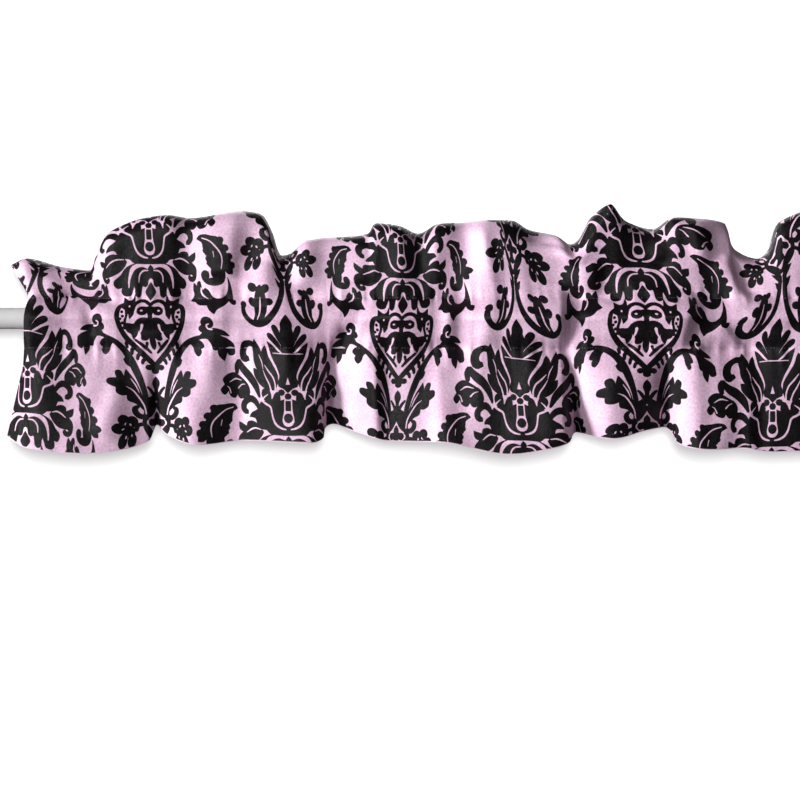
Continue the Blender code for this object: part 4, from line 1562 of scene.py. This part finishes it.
@dataclass(frozen=True)
class SoftLight:
    """A square softbox that points at one place."""

    name: str
    place: Triple
    size: float
    power: float
    lit: Lit = Lit.PIECES
    spread: float = 180.0
    target: Triple = (0.6, 0.0, -0.1)

    def build(self, receivers: dict[Lit, Collection]) -> None:
        """Hang the light, turn it to its target and say what it falls on."""
        light = bpy.data.lights.new(self.name, "AREA")
        light.size = self.size
        light.energy = self.power
        light.spread = math.radians(self.spread)
        lamp = add_object(self.name, light)
        lamp.location = self.place
        lamp.rotation_mode = "QUATERNION"
        aim = Vector(self.target) - Vector(self.place)
        lamp.rotation_quaternion = aim.to_track_quat("-Z", "Y")
        lamp.light_linking.receiver_collection = receivers[self.lit]


@dataclass
class Studio:
    """The pale wall and floor, the soft lights and the camera."""

    middle: Triple = (0.55, -0.01, -0.1066)
    camera_back: float = 2.456
    lens: float = 85.0
    film: float = 36.0
    wall_back: float = 0.048
    floor_drop: float = 0.72
    far: float = 6.0
    wall_white: float = 0.8
    wall_glow: float = 0.5
    floor_white: float = 0.85
    floor_roughness: float = 0.9
    world_light: float = 0.07
    lights: tuple[SoftLight, ...] = (
        SoftLight("key", (-8.4, -4.25, 0.7), 2.0, 1500.0),
        SoftLight("accent", (-1.6, -2.4, 0.5), 0.5, 3.0, spread=60.0, target=(0.8, 0.0, -0.13)),
        SoftLight("fill", (1.6, -3.2, 0.8), 2.0, 3.0),
        SoftLight("rear", (0.6, 2.4, 1.4), 1.8, 34.0),
        SoftLight("wall", (0.6, -4.0, 0.75), 1.4, 150.0, Lit.WALL),
    )

    def plane(self, name: str, corners: Sequence[Triple], material: Material) -> Object:
        """A stage plane with four corners."""
        mesh = bpy.data.meshes.new(name)
        mesh.from_pydata(corners, [], [(0, 1, 2, 3)])
        mesh.materials.append(material)
        piece = add_object(name, mesh)
        return piece

    def group(self, name: str, pieces: Sequence[Object]) -> Collection:
        """A named set of pieces that a light can be tied to."""
        found = bpy.data.collections.new(name)
        for piece in pieces:
            found.objects.link(piece)
        return found

    def wall_material(self) -> Material:
        """White, lit a little from itself, and clear from behind."""
        material, tree, shader = new_material("studio wall")
        facing = add_node(tree, "ShaderNodeNewGeometry")
        fill(tree, shader, {
            "Base Color": (*(self.wall_white,) * 3, 1),
            "Roughness": 1.0,
            "Specular IOR Level": 0.0,
            "Emission Color": (1, 1, 1, 1),
            "Emission Strength": self.wall_glow,
            "Alpha": math_node(tree, "SUBTRACT", 1.0, facing.outputs["Backfacing"]),
        })
        return material

    def build(self, pieces: Sequence[Object]) -> None:
        """Set up the stage, the lights and the camera.

        Args:
            pieces: what the lights on the pieces fall on.
        """
        x, y, z = self.middle
        ends, low = (-self.far, self.far), -self.floor_drop
        turns = ((0, 0), (1, 0), (1, 1), (0, 1))
        wall = self.plane("wall", [(x + ends[side], self.wall_back, (low, self.far)[end])
                                   for side, end in turns], self.wall_material())
        # The wall only takes the shadow: it holds no light back from the cloth's rear.
        for ray in ("diffuse", "glossy", "shadow", "transmission"):
            setattr(wall, f"visible_{ray}", False)
        floor_finish, tree, shader = new_material("studio floor")
        fill(tree, shader, {"Base Color": (*(self.floor_white,) * 3, 1),
                            "Roughness": self.floor_roughness})
        self.plane("floor", [(x + ends[side], ends[end], low) for side, end in turns], floor_finish)
        receivers = {Lit.PIECES: self.group("lit pieces", pieces),
                     Lit.WALL: self.group("lit wall", [wall])}
        for light in self.lights:
            light.build(receivers)
        self.build_world()
        lens = bpy.data.cameras.new("camera")
        lens.lens, lens.sensor_width = self.lens, self.film
        camera = add_object("camera", lens)
        camera.location = (x, y - self.camera_back, z)
        camera.rotation_euler = (math.pi / 2, 0, 0)
        scene = bpy.context.scene
        scene.camera = camera
        scene.view_settings.view_transform = "Standard"
        LOG.info("studio: wall, floor, %d lights and the camera", len(self.lights))

    def build_world(self) -> None:
        """A white surround that lights softly and shows as white."""
        world = bpy.data.worlds.new("surround")
        world.use_nodes = True
        bpy.context.scene.world = world
        tree = world.node_tree
        path = add_node(tree, "ShaderNodeLightPath")
        seen = math_node(tree, "MULTIPLY", path.outputs["Is Camera Ray"], 1.0 - self.world_light)
        fill(tree, tree.nodes["Background"], {
            "Color": (1, 1, 1, 1), "Strength": math_node(tree, "ADD", seen, self.world_light)})


def main() -> None:
    """Build every piece in order and report it."""
    logging.basicConfig(level=logging.INFO, format="%(name)s: %(message)s", stream=sys.stdout)
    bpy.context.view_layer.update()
    sheet = HangingSheet()
    valance = Valance(sheet, DamaskPrint())
    cloth = valance.build()
    valance.dress(cloth)
    rows = StitchRows(sheet)
    stitches = rows.build()
    rows.dress(stitches)
    Rod().dress()
    Studio().build([cloth, stitches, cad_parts["rod"]])


if __name__ == "__main__":
    main()
